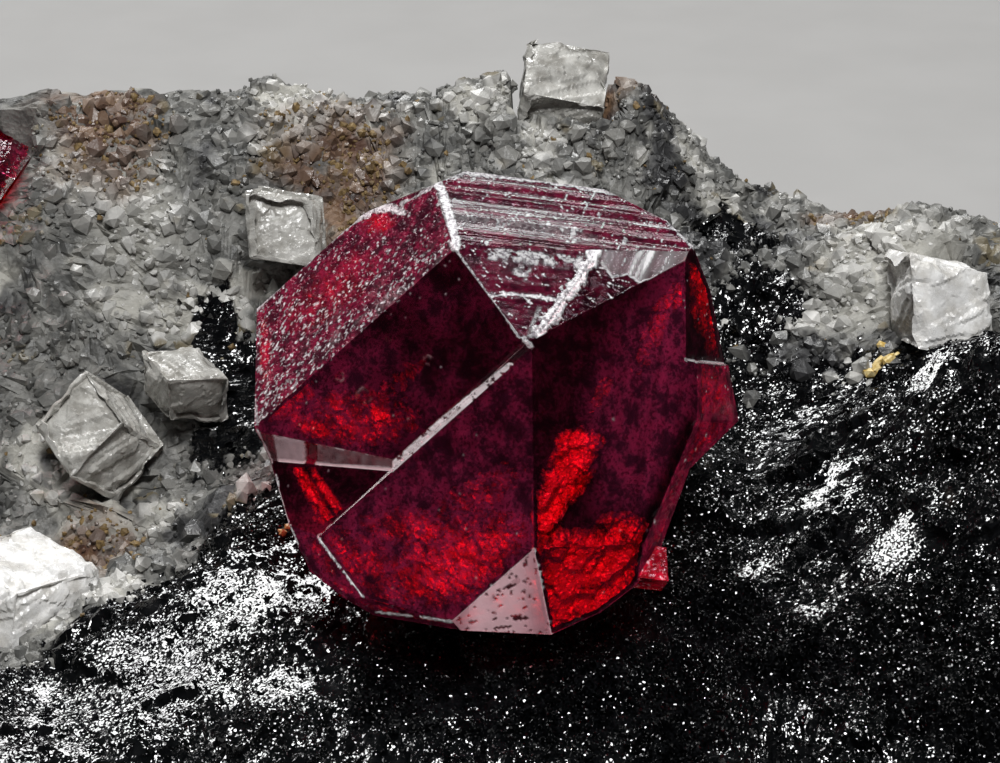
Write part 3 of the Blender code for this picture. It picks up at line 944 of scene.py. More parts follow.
def striated_relief(facet, points, seen):
    """Growth steps across the top face, with scratches: silver bands, painted reflections, between dark red
    ones.
    """
    coarse = 7 * seen_stripes(facet, points, STRIAE, 0.30, 31, 34.0, 2)
    height = 0.014 * (np.floor(coarse) + smooth_step(0.70, 1.0, coarse % 1.0))
    fine = seen_stripes(facet, points, STRIAE, 0.06, 35, 30.0, 2)
    height += 0.0045 * fine + 0.004 * noise(points, 0.12, 36, 2)
    row = slanted_row(seen, STRIAE_SLANT)
    clear = np.exp(-(((row - CLEAR_BAND) / CLEAR_BAND_REACH) ** 2))
    bands = seen_stripes(facet, points, STRIAE, 0.13, 39, 40.0, 2)
    bands += 0.42 - 0.62 * fade(seen, "striated_redder")
    bands -= 0.9 * clear + 1.2 * smooth_step(*STRIATED_END, row)
    film = highest(
        0.55 * (seen_stripes(facet, points, LONG_SCRATCHES, 0.05, 37, 12.0, 1) > 0.84),
        0.55 * (seen_stripes(facet, points, STEEP_SCRATCHES, 0.045, 38, 9.0, 1) > 0.80),
        0.20 * smooth_step(-0.20, 0.30, bands) * (1 + 0.35 * noise(points, 0.09, 42, 2)),
        0.46 * (seen_stripes(facet, points, STRIAE, 0.045, 40, 60.0, 1) > 0.80),
        0.7 * flecks(points, 0.045, 0.030, 41))
    return height, {"film": film, "grain": 0.34, "haze": 0.24}


def purple_relief(facet, points, seen):
    """Left of the chipped ridge a stepped face; right of it a silvery facet above a rough dark one. The
    ridge's white is partly a painted highlight, and the facet's silver partly a painted reflection.
    """
    right = seen[:, 0] > line_column(seen, RIDGE)
    above = seen[:, 1] < line_row(seen, SILVER_EDGE)
    left, silver, lower = ~right, right & above, right & ~above
    streaks = seen_stripes(facet, points, SILVER_STREAKS, 0.09, 55, 14.0, 2)
    fine = seen_stripes(facet, points, SILVER_STREAKS, 0.045, 56, 10.0, 1)
    bands = seen_stripes(facet, points, PURPLE_BANDS, 0.20, 51, 14.0, 3)
    ridge = broken_line(seen, RIDGE, 7.2, 59)
    height = np.where(silver, 0.0, 0.012 * bands + 0.004 * facets(points, 0.12, 53))
    height += np.where(silver, -0.0019 * (seen[:, 1] - SILVER_TOP) + 0.004 * streaks, 0.0)
    height += np.where(lower, 0.012 * facets(points, 0.14, 57) - 0.045, 0.0)
    height += 0.05 * ridge * (0.8 + 0.4 * facets(points, 0.12, 61))
    row = slanted_row(seen, PURPLE_SLANT)
    cream = smooth_step(*CREAM_TOP, row) * smooth_step(*CREAM_END, row) * fade(seen, "cream_left") * left
    lit = np.exp(-np.hypot(*((seen - LIT_PATCH) / LIT_PATCH_HALVES).T) ** 2)
    tip = smooth_step(*TIP_TOP, row) * fade(seen, "tip_left") * left
    # The pale mask here: chips and scratches, a painted highlight on the ridge, a painted lit patch, and a
    # painted silvery reflection on the facet right of the ridge.
    film = highest(
        ridge, 0.95 * broken_line(seen, CURVED_LINE, 1.7, 63), 0.55 * broken_line(seen, SILVER_EDGE, 1.2, 64),
        0.60 * cream * smooth_step(-0.45, 0.25, noise(points, 0.10, 65, 2)),
        0.80 * lit * smooth_step(-0.2, 0.3, noise(points, 0.10, 66, 2)),
        0.32 * tip * smooth_step(0.0, 0.4, streaks),
        silver * (0.20 + 0.08 * streaks + 0.50 * smooth_step(0.38, 0.6, streaks)),
        0.40 * silver * (fine > 0.72))
    for number, end in enumerate(STAR_ENDS):
        scratch = seen_stripes(facet, points, (STAR_MIDDLE, end), 0.045, 67 + number, 7.0, 1)
        film = highest(film, 0.62 * (scratch > np.where(lower, 0.85, 0.86)) * ~silver)
    haze = np.where(silver, 0.05, np.where(lower, 0.09, 0.18))
    return height, {"film": film, "grain": np.where(silver, 0.25, 0.36), "haze": haze}


def glowing_relief(facet, points, seen):
    """The right front face: near black upper left, plum in the middle, and a dark band down its right."""
    striae = seen_stripes(facet, points, GLOWING_STRIAE, 0.09, 71, 18.0, 2)
    height = 0.0030 * striae + 0.003 * noise(points, 0.8, 73)
    red = fade(seen, "glowing_red_right") * fade(seen, "glowing_red_up")
    haze = 0.05 + (0.20 + 0.10 * striae) * inside(seen, PLUM_AREA, PLUM_SOFTNESS) + 0.12 * red
    for line, reach in DARK_STREAKS:
        haze *= 1 - 0.9 * np.exp(-((line_distance(seen, line) / reach) ** 2))
    return height, {"film": 0.20 * flecks(points, 0.05, 0.003, 75), "grain": 0.08, "haze": haze}


def lower_front_relief(facet, points, seen):
    """The left front face: plum clouds and faint growth lines."""
    lines = seen_stripes(facet, points, FRONT_GROWTH, 0.08, 81, 25.0, 2)
    height = 0.0035 * lines + 0.003 * noise(points, 0.8, 83)
    haze = 0.24 + 0.12 * noise(points, 0.24, 87, 3) + 0.05 * noise(points, 0.10, 88)
    haze += 0.10 * lines * fade(seen, "front_left") - 0.06 * fade(seen, "front_up")
    return height, {"film": 0.18 * flecks(points, 0.05, 0.005, 85), "grain": 0.14, "haze": haze}


def chin_relief(facet, points, seen):
    """The pitted corner, pale with abrasion and a painted reflection, redder at both ends."""
    marks = highest(seen_stripes(facet, points, CHIN_MARKS, 0.055, 91, 4.0, 1) > 0.62,
                    flecks(points, 0.075, 0.12, 92))
    height = -0.014 * marks + 0.004 * noise(points, 0.4, 93)
    film = 0.74 - 0.66 * marks + 0.12 * noise(points, 0.25, 95, 2)
    red = highest(fade(seen, "chin_right"), fade(seen, "chin_left"),
                  smooth_step(0.2, 0.6, noise(points, 0.35, 96, 2)))
    return height, {"film": film * (1 - 0.45 * red), "grain": 0.22, "haze": 0.12 + 0.30 * red,
                    "blush": 0.72 + 0.28 * red}


def step_relief(facet, points, seen):
    """The broken riser below the dark face, pale with a painted highlight; past its ends the step is dark."""
    height = 0.008 * facets(points, 0.07, 97)
    riser = smooth_step(6.0, 4.6, line_distance(seen, RISER))
    dark = flecks(points, 0.085, 0.20, 99)
    film = (0.78 + 0.2 * noise(points, 0.2, 98)) * (1 - 0.85 * dark) * riser
    return height, {"film": film, "grain": 0.1 + 0.14 * riser, "haze": 0.1, "blush": 0.26}


def ledge_relief(facet, points, seen):
    """The left ledge: a grey lavender block, a dark gap and a pinkish wedge whose lower edge is bright with a
    painted highlight.
    """
    gap = fade(seen, "gap_left") * fade(seen, "gap_right")
    height = -0.10 * gap + 0.008 * noise(points, 0.15, 101, 2)
    column, row, slope = LEDGE_CREST
    below = seen[:, 1] - (row + slope * (seen[:, 0] - column) + 3.5 * noise(points, 0.12, 102, 2))
    crinkled = smooth_step(-2.5, 2.5, below)
    block = 0.34 + 0.12 * noise(points, 0.3, 104)
    film = highest(np.where(seen[:, 0] < column, block, 0.10 * crinkled + 0.05),
                   0.85 * smooth_step(3.4, 1.4, line_distance(seen, LEDGE_EDGE)),
                   0.45 * crinkled * (1 - smooth_step(1.0, 5.0, below)))
    column, row, slope = LEDGE_RIM
    rim = smooth_step(1.0, 4.0, seen[:, 0] - column - slope * (seen[:, 1] - row))
    film = (film * (1 - gap) + 0.06 * noise(points, 0.1, 103)) * (0.15 + 0.85 * rim)
    return height, {"film": film, "grain": 0.22, "haze": 0.20, "blush": 0.60}


def bud_relief(facet, points, seen):
    """The little crystal on the lower right corner: bright red, with a sparkling side."""
    sparkle = 0.35 * flecks(points, 0.05, 0.30, 107) * fade(seen, "bud_left")
    return 0.010 * facets(points, 0.12, 105), {"film": sparkle, "grain": 0.3, "haze": 0.8, "blush": 0.95}


def cheek_relief(facet, points, seen):
    """The right cheek: black above its step, plum below."""
    below = fade(seen, "cheek_below_step")
    return 0.003 * noise(points, 0.6, 115, 2), {"film": 0.3 * flecks(points, 0.05, 0.012, 117), "grain": 0.10,
                                                "haze": 0.05 + 0.36 * below, "blush": 0.35 * below}


def plain_relief(facet, points, seen):
    """A smooth clean face."""
    film = 0.2 * flecks(points, 0.05, 0.006, 113)
    return 0.003 * noise(points, 0.6, 111, 2), {"film": film, "grain": 0.12, "haze": 0.30}


def waist_relief(facet, points, seen):
    """The dark face below the ledge, a little clouded and redder at its foot."""
    height, masks = plain_relief(facet, points, seen)
    lower = fade(seen, "waist_low")
    return height, {**masks, "haze": 0.05 + 0.14 * lower, "blush": 0.5 * lower}


def hidden_relief(facet, points, seen):
    """Faces turned from the camera: duller, with growth steps."""
    return 0.012 * noise(points, 0.9, 121, 3), {"film": 0.05, "grain": 0.45, "haze": 0.30}


RELIEFS = {"rough": rough_relief, "dark": dark_relief, "striated": striated_relief, "purple": purple_relief,
           "glowing": glowing_relief, "glowing_low": glowing_relief, "step": step_relief,
           "lower_front": lower_front_relief, "chin": chin_relief, "ledge": ledge_relief,
           "waist": waist_relief, "cheek": cheek_relief, "cheek_low": cheek_relief, "bud": bud_relief,
           "hidden": hidden_relief}


def large_crystal_detail(facet, points):
    """Height and masks of a facet's points."""
    seen = seen_at(points)
    name = facet_name(facet)
    height, masks = RELIEFS.get(name, plain_relief)(facet, points, seen)
    if name in LIFTED:
        masks["lifted"] = 1.0
    if name != "hidden":
        # Painted highlights along the chipped edges.
        lines = bright_lines(seen)
        masks["film"] = np.clip(highest(masks["film"], lines), 0, 1)
        masks["grain"] = highest(masks["grain"], 0.6 * lines)
    return height, masks


def large_crystal_chips(points):
    """How far edges are worn back."""
    worn = 0.004 + 0.022 * smooth_step(0.30, 0.80, noise(points, 0.30, 131, 2))
    worn += 0.004 * smooth_step(0.0, 0.8, noise(points, 0.09, 133))
    return worn * smooth_step(2.0, 8.0, line_distance(seen_at(points), SEAM))


def make_large_crystal(material):
    """The large crystal's skin, in place of its CAD body."""
    skin = Skin("cinnabar_crystal", CRYSTAL_FRAME.inverted(), facet_spacing)
    masks = skin.relieve(large_crystal_detail, large_crystal_chips)
    item = skin.build("cinnabar_large_crystal", TO_WORLD, material, masks)
    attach(item, "root")
    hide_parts("cinnabar_crystal")


# ---------------------------------------------------------------- what glows inside the large crystal

# Spacing of a sheet's points and how far they stay from the facet's edges, in pixels.
GLOW_SPACING, GLOW_MARGIN = 2.3, 3.5
# Pieces of a sheet darker than this are left out. A sheet reaches this many half lengths from its spots.
GLOW_FAINTEST, GLOW_REACH = 0.05, 1.9
# A sheet's least depth below the facet, and its thickness.
GLOW_NEAREST, GLOW_THICKNESS = 0.11, 0.04
# The longest side of a sheet's triangle, in units of the spacing.
LONGEST_SIDE = 2.2
# Sizes of the flat pieces of a broken inner surface.
MOSAIC_LARGE, MOSAIC_SMALL = 0.42, 0.17
# The front lamp's direction in the crystal's own frame, rounded.
FRONT_LIGHT = np.array((0.065, 0.604, 0.795))
# Below this row the right cheek is behind its step.
CHEEK_STEP_ROW = 361
# Inner faces: the facet they are seen through, depth in millimetres, share of mirroring, and spots of painted
# glow as middle in the photograph's pixels, half lengths along and across in pixels, turn in degrees and
# strength.
GLOWS = {
    "glow_right": ("glowing", 0.19, 0.85, (
        (570, 467, 25, 14, -66, 1.5), (580, 441, 15, 7, 3, 1.6), (553, 500, 26, 10, -68, 1.2),
        (546, 528, 10, 16, 0, 0.7), (588, 545, 50, 12, -2, 0.62), (622, 528, 22, 12, 5, 0.45),
        (600, 395, 22, 10, -60, 0.14), (655, 330, 50, 12, -65, 0.16), (678, 296, 20, 9, -50, 0.28))),
    "glow_right_low": ("glowing_low", 0.19, 0.7, (
        (572, 578, 40, 22, -50, 1.05), (608, 566, 30, 22, -20, 1.15), (590, 602, 28, 12, -20, 0.95),
        (560, 612, 14, 20, 0, 0.9), (588, 545, 50, 12, -2, 0.62))),
    "glow_cheek": ("cheek", 0.13, 0.6, (
        (718, 330, 26, 5, 70, 1.1), (708, 298, 11, 8, 20, 1.3), (700, 280, 12, 6, 60, 0.6),
        (706, 315, 38, 12, 75, 0.30))),
    "glow_cheek_step": ("cheek_step", 0.13, 0.5, (
        (697, 384, 24, 8, 85, 0.9), (697, 405, 11, 5, 90, 1.3), (716, 392, 24, 16, 80, 0.30))),
    "glow_cheek_low": ("cheek_low", 0.15, 0.2, (
        (712, 436, 24, 16, 0, 0.34), (690, 470, 34, 10, -60, 0.30), (660, 540, 30, 8, -60, 0.30))),
    "glow_front": ("lower_front", 0.22, 0.15, (
        (466, 560, 34, 24, -40, 1.0), (430, 574, 32, 22, 0, 0.85), (494, 540, 26, 18, -30, 0.60),
        (420, 530, 44, 16, 10, 0.46), (360, 562, 42, 20, 35, 0.34), (395, 596, 26, 10, 0, 0.36),
        (470, 500, 60, 20, -30, 0.18))),
    "glow_dark": ("dark", 0.24, 0.3, (
        (337, 408, 11, 6, 75, 0.9), (348, 426, 11, 6, 20, 0.7), (379, 414, 8, 7, 0, 0.9),
        (365, 436, 20, 6, -10, 0.45), (318, 428, 26, 10, 10, 0.34), (360, 420, 56, 26, 0, 0.24),
        (290, 400, 24, 18, -40, 0.28), (400, 380, 60, 14, -40, 0.10))),
    "glow_waist": ("waist", 0.12, 0.8, (
        (313, 495, 26, 4.5, 60, 1.2), (331, 499, 27, 3, 57, 1.3), (335, 522, 16, 4, 10, 0.6))),
    "glow_left_low": ("left_low", 0.12, 0.2, ((320, 556, 24, 7, 55, 0.34), (345, 590, 14, 6, 30, 0.34))),
    "glow_foot": ("foot", 0.12, 0.2, ((380, 606, 30, 7, 12, 0.42), (430, 618, 26, 6, 8, 0.36))),
    "glow_chin": ("chin", 0.12, 0.2, (
        (470, 616, 16, 7, 0, 0.8), (540, 600, 22, 8, 80, 0.75), (508, 604, 18, 10, 0, 0.55),
        (536, 572, 10, 6, 0, 0.5))),
    "glow_rough": ("rough", 0.16, 0.0, (
        (264, 350, 30, 5, 88, 0.5), (378, 222, 12, 8, 0, 0.8), (330, 290, 60, 24, -40, 0.22))),
}


def spots_at(pixels, spots):
    """Brightness of soft oval spots: middle, half lengths along and across, turn in degrees, strength."""
    total = np.zeros(len(pixels))
    for across, down, long, wide, turn, strength in spots:
        angle = math.radians(turn)
        x, y = pixels[:, 0] - across, pixels[:, 1] - down
        u = (x * math.cos(angle) + y * math.sin(angle)) / long
        v = (y * math.cos(angle) - x * math.sin(angle)) / wide
        total = np.maximum(total, strength * np.exp(-(u * u + v * v)))
    return total


def mosaic(hit, normal, mirror, seed):
    """Depth of a broken inner surface: flat pieces, turned by this share towards mirroring the front lamp."""
    sideways = FRONT_LIGHT - (FRONT_LIGHT @ normal) * normal
    toward = mirror * sideways / (1 + FRONT_LIGHT @ normal)
    deep = MOSAIC_LARGE * cells(hit, MOSAIC_LARGE, seed)[0] @ toward
    fine = 0.045 * (1 - 0.65 * mirror)
    deep += 0.08 * facets(hit, MOSAIC_LARGE, seed, 1.3)
    return deep + fine * facets(hit, MOSAIC_SMALL, seed + 1, 1.3)


def glow_pixels(facet, spots, seed):
    """Scattered pixels round a sheet's spots and inside its facet's outline, right up to the seam."""
    reach = GLOW_REACH * spots[:, 2:4].max(1)
    low, high = (spots[:, :2] - reach[:, None]).min(0), (spots[:, :2] + reach[:, None]).max(0)
    box = np.array([low, (high[0], low[1]), high, (low[0], high[1])])
    pixels = filling(box, np.roll(box, -1, axis=0), GLOW_SPACING, seed)
    rim = facet.corners.reshape(-1, 2, 3)
    starts, ends = seen_at(rim[:, 0]), seen_at(rim[:, 1])
    pixels = pixels[within(pixels, starts, ends)]
    clear = edge_distance(pixels, starts, ends) > GLOW_MARGIN
    return pixels[clear | (line_distance(pixels, SEAM) < GLOW_MARGIN + 1)]


def painted_glow_pattern(pixels, hit, spots, mirror, seed):
    """Painted glow of a sheet: its spots, in pieces of uneven tone with dark veins between them."""
    tone = 0.55 + 0.45 * hashed(cells(hit, MOSAIC_SMALL, seed + 2)[1], seed + 3)
    broken = 1 - 0.6 * mirror
    veins = 1 - 0.80 * broken * smooth_step(0.10, 0.0, np.abs(noise(hit, 0.42, seed + 6, 3)))
    veins *= 1 - 0.65 * broken * smooth_step(0.14, 0.0, np.abs(noise(hit, 0.15, seed + 7, 2)))
    return spots_at(pixels, spots) * tone * veins


def sheet_triangles(pixels, painted_glow):
    """Triangles between neighbouring pixels, without the dark and the stretched ones."""
    made = delaunay_2d_cdt([Vector(point) for point in pixels], [], [], 0, 1e-6)
    order = [sources[0] for sources in made[3]]
    triangles = []
    for face in made[2]:
        named = [order[corner] for corner in face]
        sides = np.linalg.norm(pixels[named] - np.roll(pixels[named], 1, axis=0), axis=1)
        if sides.max() < LONGEST_SIDE * GLOW_SPACING and painted_glow[named].mean() > GLOW_FAINTEST:
            triangles.append(named)
    return triangles


def closed_sheet(triangles, count):
    """Faces of a thin closed sheet whose back points follow its front ones."""
    one_way = {edge for a, b, c in triangles for edge in ((a, b), (b, c), (c, a))}
    border = [(a, b) for a, b in one_way if (b, a) not in one_way]
    faces = [[c, b, a] for a, b, c in triangles]
    faces += [[a + count, b + count, c + count] for a, b, c in triangles]
    return faces + [[a, b, b + count, a + count] for a, b in sorted(border)]


def glow_sheet(name, facet, spots, depth, mirror, seed, material):
    """A ragged mosaic of inner faces behind a facet, with a painted glow, closed all round."""
    spots = np.array(spots, float)
    pixels = glow_pixels(facet, spots, seed)
    hit, way = ray_to_facet(pixels, facet)
    painted_glow = painted_glow_pattern(pixels, hit, spots, mirror, seed)
    deep = np.maximum(depth + mosaic(hit, facet.normal, mirror, seed), GLOW_NEAREST)
    front = hit + way * deep[:, None]
    back = hit + way * (deep + GLOW_THICKNESS)[:, None]
    faces = closed_sheet(sheet_triangles(pixels, painted_glow), len(front))
    used = np.unique(np.concatenate([np.array(face) for face in faces]))
    renumbered = {old: new for new, old in enumerate(used)}
    faces = [[renumbered[corner] for corner in face] for face in faces]
    item = make_mesh(name, moved(np.vstack([front, back])[used], TO_WORLD), faces, material)
    add_attribute(item, "painted_glow", np.concatenate([painted_glow, painted_glow])[used])
    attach(item, "root")


def make_glows(material):
    """A sheet behind the largest facet of each name that GLOWS gives."""
    outer, shape = facets_of("cinnabar_crystal", CRYSTAL_FRAME.inverted())
    largest = {}
    for facet in outer:
        name = facet_name(facet)
        if name == "cheek" and seen_at(facet.centre[None])[0, 1] > CHEEK_STEP_ROW:
            name = "cheek_step"
        spread = np.ptp(facet.corners, axis=0).sum()
        if name not in largest or spread > largest[name][0]:
            largest[name] = (spread, facet)
    for seed, (name, (facet, depth, mirror, spots)) in enumerate(GLOWS.items()):
        glow_sheet(name, largest[facet][1], spots, depth, mirror, 200 + 10 * seed, material)
    shape.free()


# ---------------------------------------------------------------- small crystals

# Spacing of their fine points, and how far from an edge it is worn back.
SMALL_SPACING, SMALL_WEAR_REACH = 0.065, 0.20


def small_crystal_relief(facet, points):
    """Cleavage steps and worn spots on a small crystal's faces."""
    seed = int(1000 * abs(facet.normal @ np.array([3.1, 1.7, 0.9])))
    steps = stripes(points, facet.across * 0.8 + facet.up * 0.6, facet.normal, 0.80, seed, 5.0, 2)
    height = 0.11 * (np.floor(4 * steps) + smooth_step(0.8, 1.0, (4 * steps) % 1.0)) / 2
    height += 0.030 * facets(points, 0.45, seed + 3) + 0.006 * noise(points, 0.1, seed)
    dull = 0.25 + 0.35 * smooth_step(-0.2, 0.5, noise(points, 0.4, seed + 5, 2))
    return height, {"film": 0.25 * flecks(points, 0.06, 0.10, seed + 7), "grain": dull, "haze": 0.5 * dull}


def small_crystal_chips(points):
    """How far edges are worn back."""
    return 0.05 + 0.26 * smooth_step(-0.3, 0.7, noise(points, 0.60, 141, 3))


def make_small_crystal(node, name, material, bright=0.0):
    """A crystal's skin around its own middle. The bright mask is only read by the calcite's material."""
    centre = sum(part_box(node), Vector()) / 2 / MM
    here = Matrix.Translation(centre)
    skin = Skin(node, here.inverted(), lambda facet: SMALL_SPACING)
    masks = skin.relieve(small_crystal_relief, small_crystal_chips, SMALL_WEAR_REACH)
    masks["bright"] = np.full(len(skin.points), bright)
    item = skin.build(name, np.array(here), material, masks)
    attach(item, "root")
    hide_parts(node)


# ---------------------------------------------------------------- the rock

# Rings of the square grid from the middle of the top to its rim, and rows of points down the broken sides.
SQUARE_HALF, WALL_ROWS = 128, 32
# How near to a seated crystal the rim counts as cut by its socket, how far round a socket the top is filled
# in, and how far the rock stays below a crystal.
RIM_CLEAR, SEAT_REACH, SINK = 0.6, 0.48, 0.04
# Rays towards the walls start this far out. Rays to the top are drawn in to this share of their distance.
FAR_OUT, RIM_INSET = 60, 0.9995
# The rim is looked for upwards from its lowest height in steps, and is then this much lower than the first
# place where the wall stands further in from its foot than its lean per millimetre and its slack allow.
RIM_LOWEST, RIM_STEP, RIM_BACK = 1.0, 0.25, 0.35
FOOT_LEVEL, WALL_LEAN, WALL_SLACK = 0.05, 0.30, 0.4
# The walls are read no lower than this and no nearer the rim than this.
WALL_LOWEST, WALL_BELOW_RIM = 0.02, 0.4
# How often the hollow places are smoothed, the grid's steepest slope and the smallest area of its squares.
FILL_ROUNDS, STEEPEST, LEAST_AREA = 2600, 3, 1e-6
# The border between black ore in front and pale gangue behind.
PALE_BORDER_X = (-19.0, -12.0, -8.5, -5.0, -2.0, 3.0, 7.0, 10.0, 13.0, 19.0)
PALE_BORDER_Y = (-3.5, -2.5, -0.8, 1.8, 3.6, 4.6, 5.0, 4.0, 2.9, 1.0)
# Round patches of the rock, each as its middle and radius: dark patches behind the crystal on both sides,
# where the rock is given the black ore's colour and grains instead of the pale gangue's, rusty spots, ore
# whose small faces lie one way, ore that hardly sparkles, and gangue with mostly white grains.
DARK_PATCHES = ((-6.2, 5.2, 1.5), (5.9, 9.0, 1.3), (6.0, 6.5, 1.3), (-6.9, 6.9, 0.8))
STAINS = ((-4.2, 9.2, 1.7), (2.6, 11.9, 1.3), (-9.8, 10.2, 1.6), (-14.5, 6.5, 1.6), (9.0, 9.6, 1.2),
          (-12.0, 1.5, 1.0), (-9.4, 2.3, 1.3))
GLINT_PATCHES = ((-7.4, -5.2, 3.0), (-5.4, -3.4, 1.7), (-10.4, -7.8, 2.6), (-3.8, -3.2, 0.8),
                 (-4.4, -6.4, 0.85), (9.2, 0.6, 0.5), (8.2, -3.2, 0.75), (5.4, -2.2, 0.5), (6.4, -4.3, 0.4),
                 (7.0, -0.6, 0.45), (-2.6, -8.4, 0.8), (11.5, -2.5, 0.9), (11.0, -5.2, 0.5))
DULL_PATCHES = ((3.6, 0.6, 1.6), (4.0, -1.0, 1.7), (4.0, -3.4, 1.5), (1.6, -6.3, 1.8), (-1.6, -6.2, 1.5),
                (8.3, -5.9, 2.0), (5.6, -5.4, 1.5), (3.4, -6.6, 1.5), (10.6, -6.0, 1.3), (9.4, -4.7, 1.0),
                (9.8, -7.6, 1.2), (9.9, -1.8, 1.0))
MILKY_PATCHES = ((-8.9, 8.4, 1.4), (8.8, 6.3, 1.3), (10.4, 7.1, 1.0), (-10.2, 4.4, 0.7))
# Masks for the materials: the patches, the size of their ragged border and its seed.
PATCHES = {"stain": (STAINS, 1.1, 161), "glint": (GLINT_PATCHES, 0.9, 163),
           "dull": (DULL_PATCHES, 0.9, 165), "milky": (MILKY_PATCHES, 0.9, 167)}


def surface_tree(names):
    """One search tree over CAD nodes, in millimetres."""
    points, faces = [], []
    for name in names:
        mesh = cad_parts[name].data
        first = len(points)
        points.extend(vertex.co / MM for vertex in mesh.vertices)
        faces.extend([first + index for index in face.vertices] for face in mesh.polygons)
    return BVHTree.FromPolygons(points, faces)


def seated_crystals():
    """The search tree over every crystal."""
    return surface_tree([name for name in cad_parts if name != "matrix"])


class Rock:
    """Reads the CAD rock: its walls, its upper rim and its top, and the crystals that sit in it."""

    def __init__(self):
        self.rock = surface_tree(["matrix"])
        self.seated = seated_crystals()
        self.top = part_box("matrix")[1].z / MM + 1.0

    def wall(self, angle, height):
        """Distance of the wall in this direction."""
        outward = Vector((math.cos(angle), math.sin(angle), 0.0))
        hit = self.rock.ray_cast(outward * FAR_OUT + Vector((0, 0, height)), -outward)[0]
        return 0.0 if hit is None else math.hypot(hit.x, hit.y)

    def beside_crystal(self, angle, height):
        """Whether a crystal sits in the wall here."""
        reach = self.wall(angle, height)
        place = Vector((math.cos(angle) * reach, math.sin(angle) * reach, height))
        return self.seated.find_nearest(place, RIM_CLEAR)[0] is not None

    def rim(self, angle):
        """Distance and height of the wall's upper edge here, and whether a crystal sits in it."""
        foot = self.wall(angle, FOOT_LEVEL)
        height = RIM_LOWEST
        while height < self.top and self.wall(angle, height) > foot - WALL_LEAN * height - WALL_SLACK:
            height += RIM_STEP
        height -= RIM_BACK
        return self.wall(angle, height), height, self.beside_crystal(angle, height)

    def rims(self, angles):
        """The rim's distances and heights; where a crystal sits in it, it follows on from both sides."""
        found = np.array([self.rim(angle) for angle in angles])
        free = found[:, 2] == 0
        return [np.interp(angles, angles[free], found[free, column], period=math.tau) for column in (0, 1)]

    def height(self, x, y):
        """Height of the rock's top here, and whether a crystal's socket lies here."""
        hit = self.rock.ray_cast(Vector((x, y, self.top)), Vector((0, 0, -1)))[0]
        if hit is None:
            return math.nan, False
        return hit.z, self.seated.find_nearest(hit, SEAT_REACH)[0] is not None

    def crystal_bottom(self, x, y):
        """The lowest height of a crystal here."""
        hit = self.seated.ray_cast(Vector((x, y, 0.0)), Vector((0, 0, 1)))[0]
        return math.inf if hit is None else hit.z


def square_grid():
    """Grid points from the middle of the top to its rim: how far out each lies, and its direction."""
    step = np.arange(-SQUARE_HALF, SQUARE_HALF + 1)
    u, v = np.meshgrid(step, step, indexing="ij")
    ring = np.maximum(np.abs(u), np.abs(v))
    side = np.where(np.abs(u) >= np.abs(v), np.where(u > 0, 0, 2), np.where(v > 0, 1, 3))
    run = np.select([side == 0, side == 1, side == 2], [v, -u, -v], u) / np.maximum(ring, 1)
    return ring / SQUARE_HALF, (side + run / 2) * math.pi / 2


def fill_hollows(height, hollow):
    """Stretches the surface smoothly across the hollow places."""
    filled = np.where(hollow, height[~hollow].mean(), height)
    for _ in range(FILL_ROUNDS):
        around = np.roll(filled, 1, 0) + np.roll(filled, -1, 0)
        around = around + np.roll(filled, 1, 1) + np.roll(filled, -1, 1)
        filled[hollow] = around[hollow] / 4
    return filled


def spot_share(points, spots, wander_size, seed):
    """1 in the middle of ragged round patches and 0 away from them."""
    result = np.zeros(len(points))
    for x, y, radius in spots:
        away = np.hypot(points[:, 0] - x, points[:, 1] - y)
        away += 0.5 * radius * noise(points, wander_size, seed, 2)
        result = np.maximum(result, smooth_step(1.3, 0.4, away / radius))
    return result


def patch_share(points, name):
    """The mask of this name in PATCHES."""
    return spot_share(points, *PATCHES[name])


def add_patches(item, points):
    """Gives a mesh all masks in PATCHES."""
    for name in PATCHES:
        add_attribute(item, name, patch_share(points, name))


def pale_share(points):
    """1 where the rock is pale gangue and 0 where it is black ore; the border runs across the top."""
    x, y = points[:, 0], points[:, 1]
    border = np.interp(x, PALE_BORDER_X, PALE_BORDER_Y)
    wander = 1.5 * noise(points * (1, 1, 0.5), 2.6, 151, 3)
    pale = smooth_step(-1.4, 1.4, y - border + wander)
    return pale * (1 - spot_share(points, DARK_PATCHES, 1.2, 153))


def rock_relief(points, pale):
    """Height of the broken surface over the CAD's plain blocks."""
    ore = 0.28 * facets(points, 1.5, 171, 1.1) + 0.10 * facets(points, 0.55, 173, 1.0)
    ore += 0.16 * noise(points, 1.0, 175, 4)
    gangue = 0.20 * facets(points, 1.15, 181, 0.9) + 0.11 * facets(points, 0.5, 183, 1.1)
    gangue += 0.08 * noise(points, 0.5, 185, 3)
    return ore * (1 - pale) * (1 - 0.5 * patch_share(points, "glint")) + gangue * pale


def wall_relief(points):
    """Depth of the broken sides, a little inside the CAD's plain blocks on average."""
    blocks = 0.38 * facets(points, 2.3, 201, 1.1) + 0.17 * facets(points, 1.15, 203)
    return blocks + 0.07 * noise(points, 0.9, 205, 2) - 0.30


def rock_top(rock, share, direction):
    """The CAD rock's top on the bent grid, smooth across the sockets: x, y and height."""
    angles, place = np.unique(np.round(direction.ravel() % math.tau, 9), return_inverse=True)
    rim_reach, rim_height = (values[place].reshape(share.shape) for values in rock.rims(angles))
    x, y = share * rim_reach * np.cos(direction), share * rim_reach * np.sin(direction)
    found = [rock.height(a, b) for a, b in zip(x.ravel() * RIM_INSET, y.ravel() * RIM_INSET)]
    height = np.array([item[0] for item in found]).reshape(share.shape)
    hollow = np.array([item[1] for item in found]).reshape(share.shape) | np.isnan(height)
    rim = share > 1 - 0.5 / SQUARE_HALF
    return x, y, fill_hollows(np.where(rim, rim_height, height), hollow & ~rim)


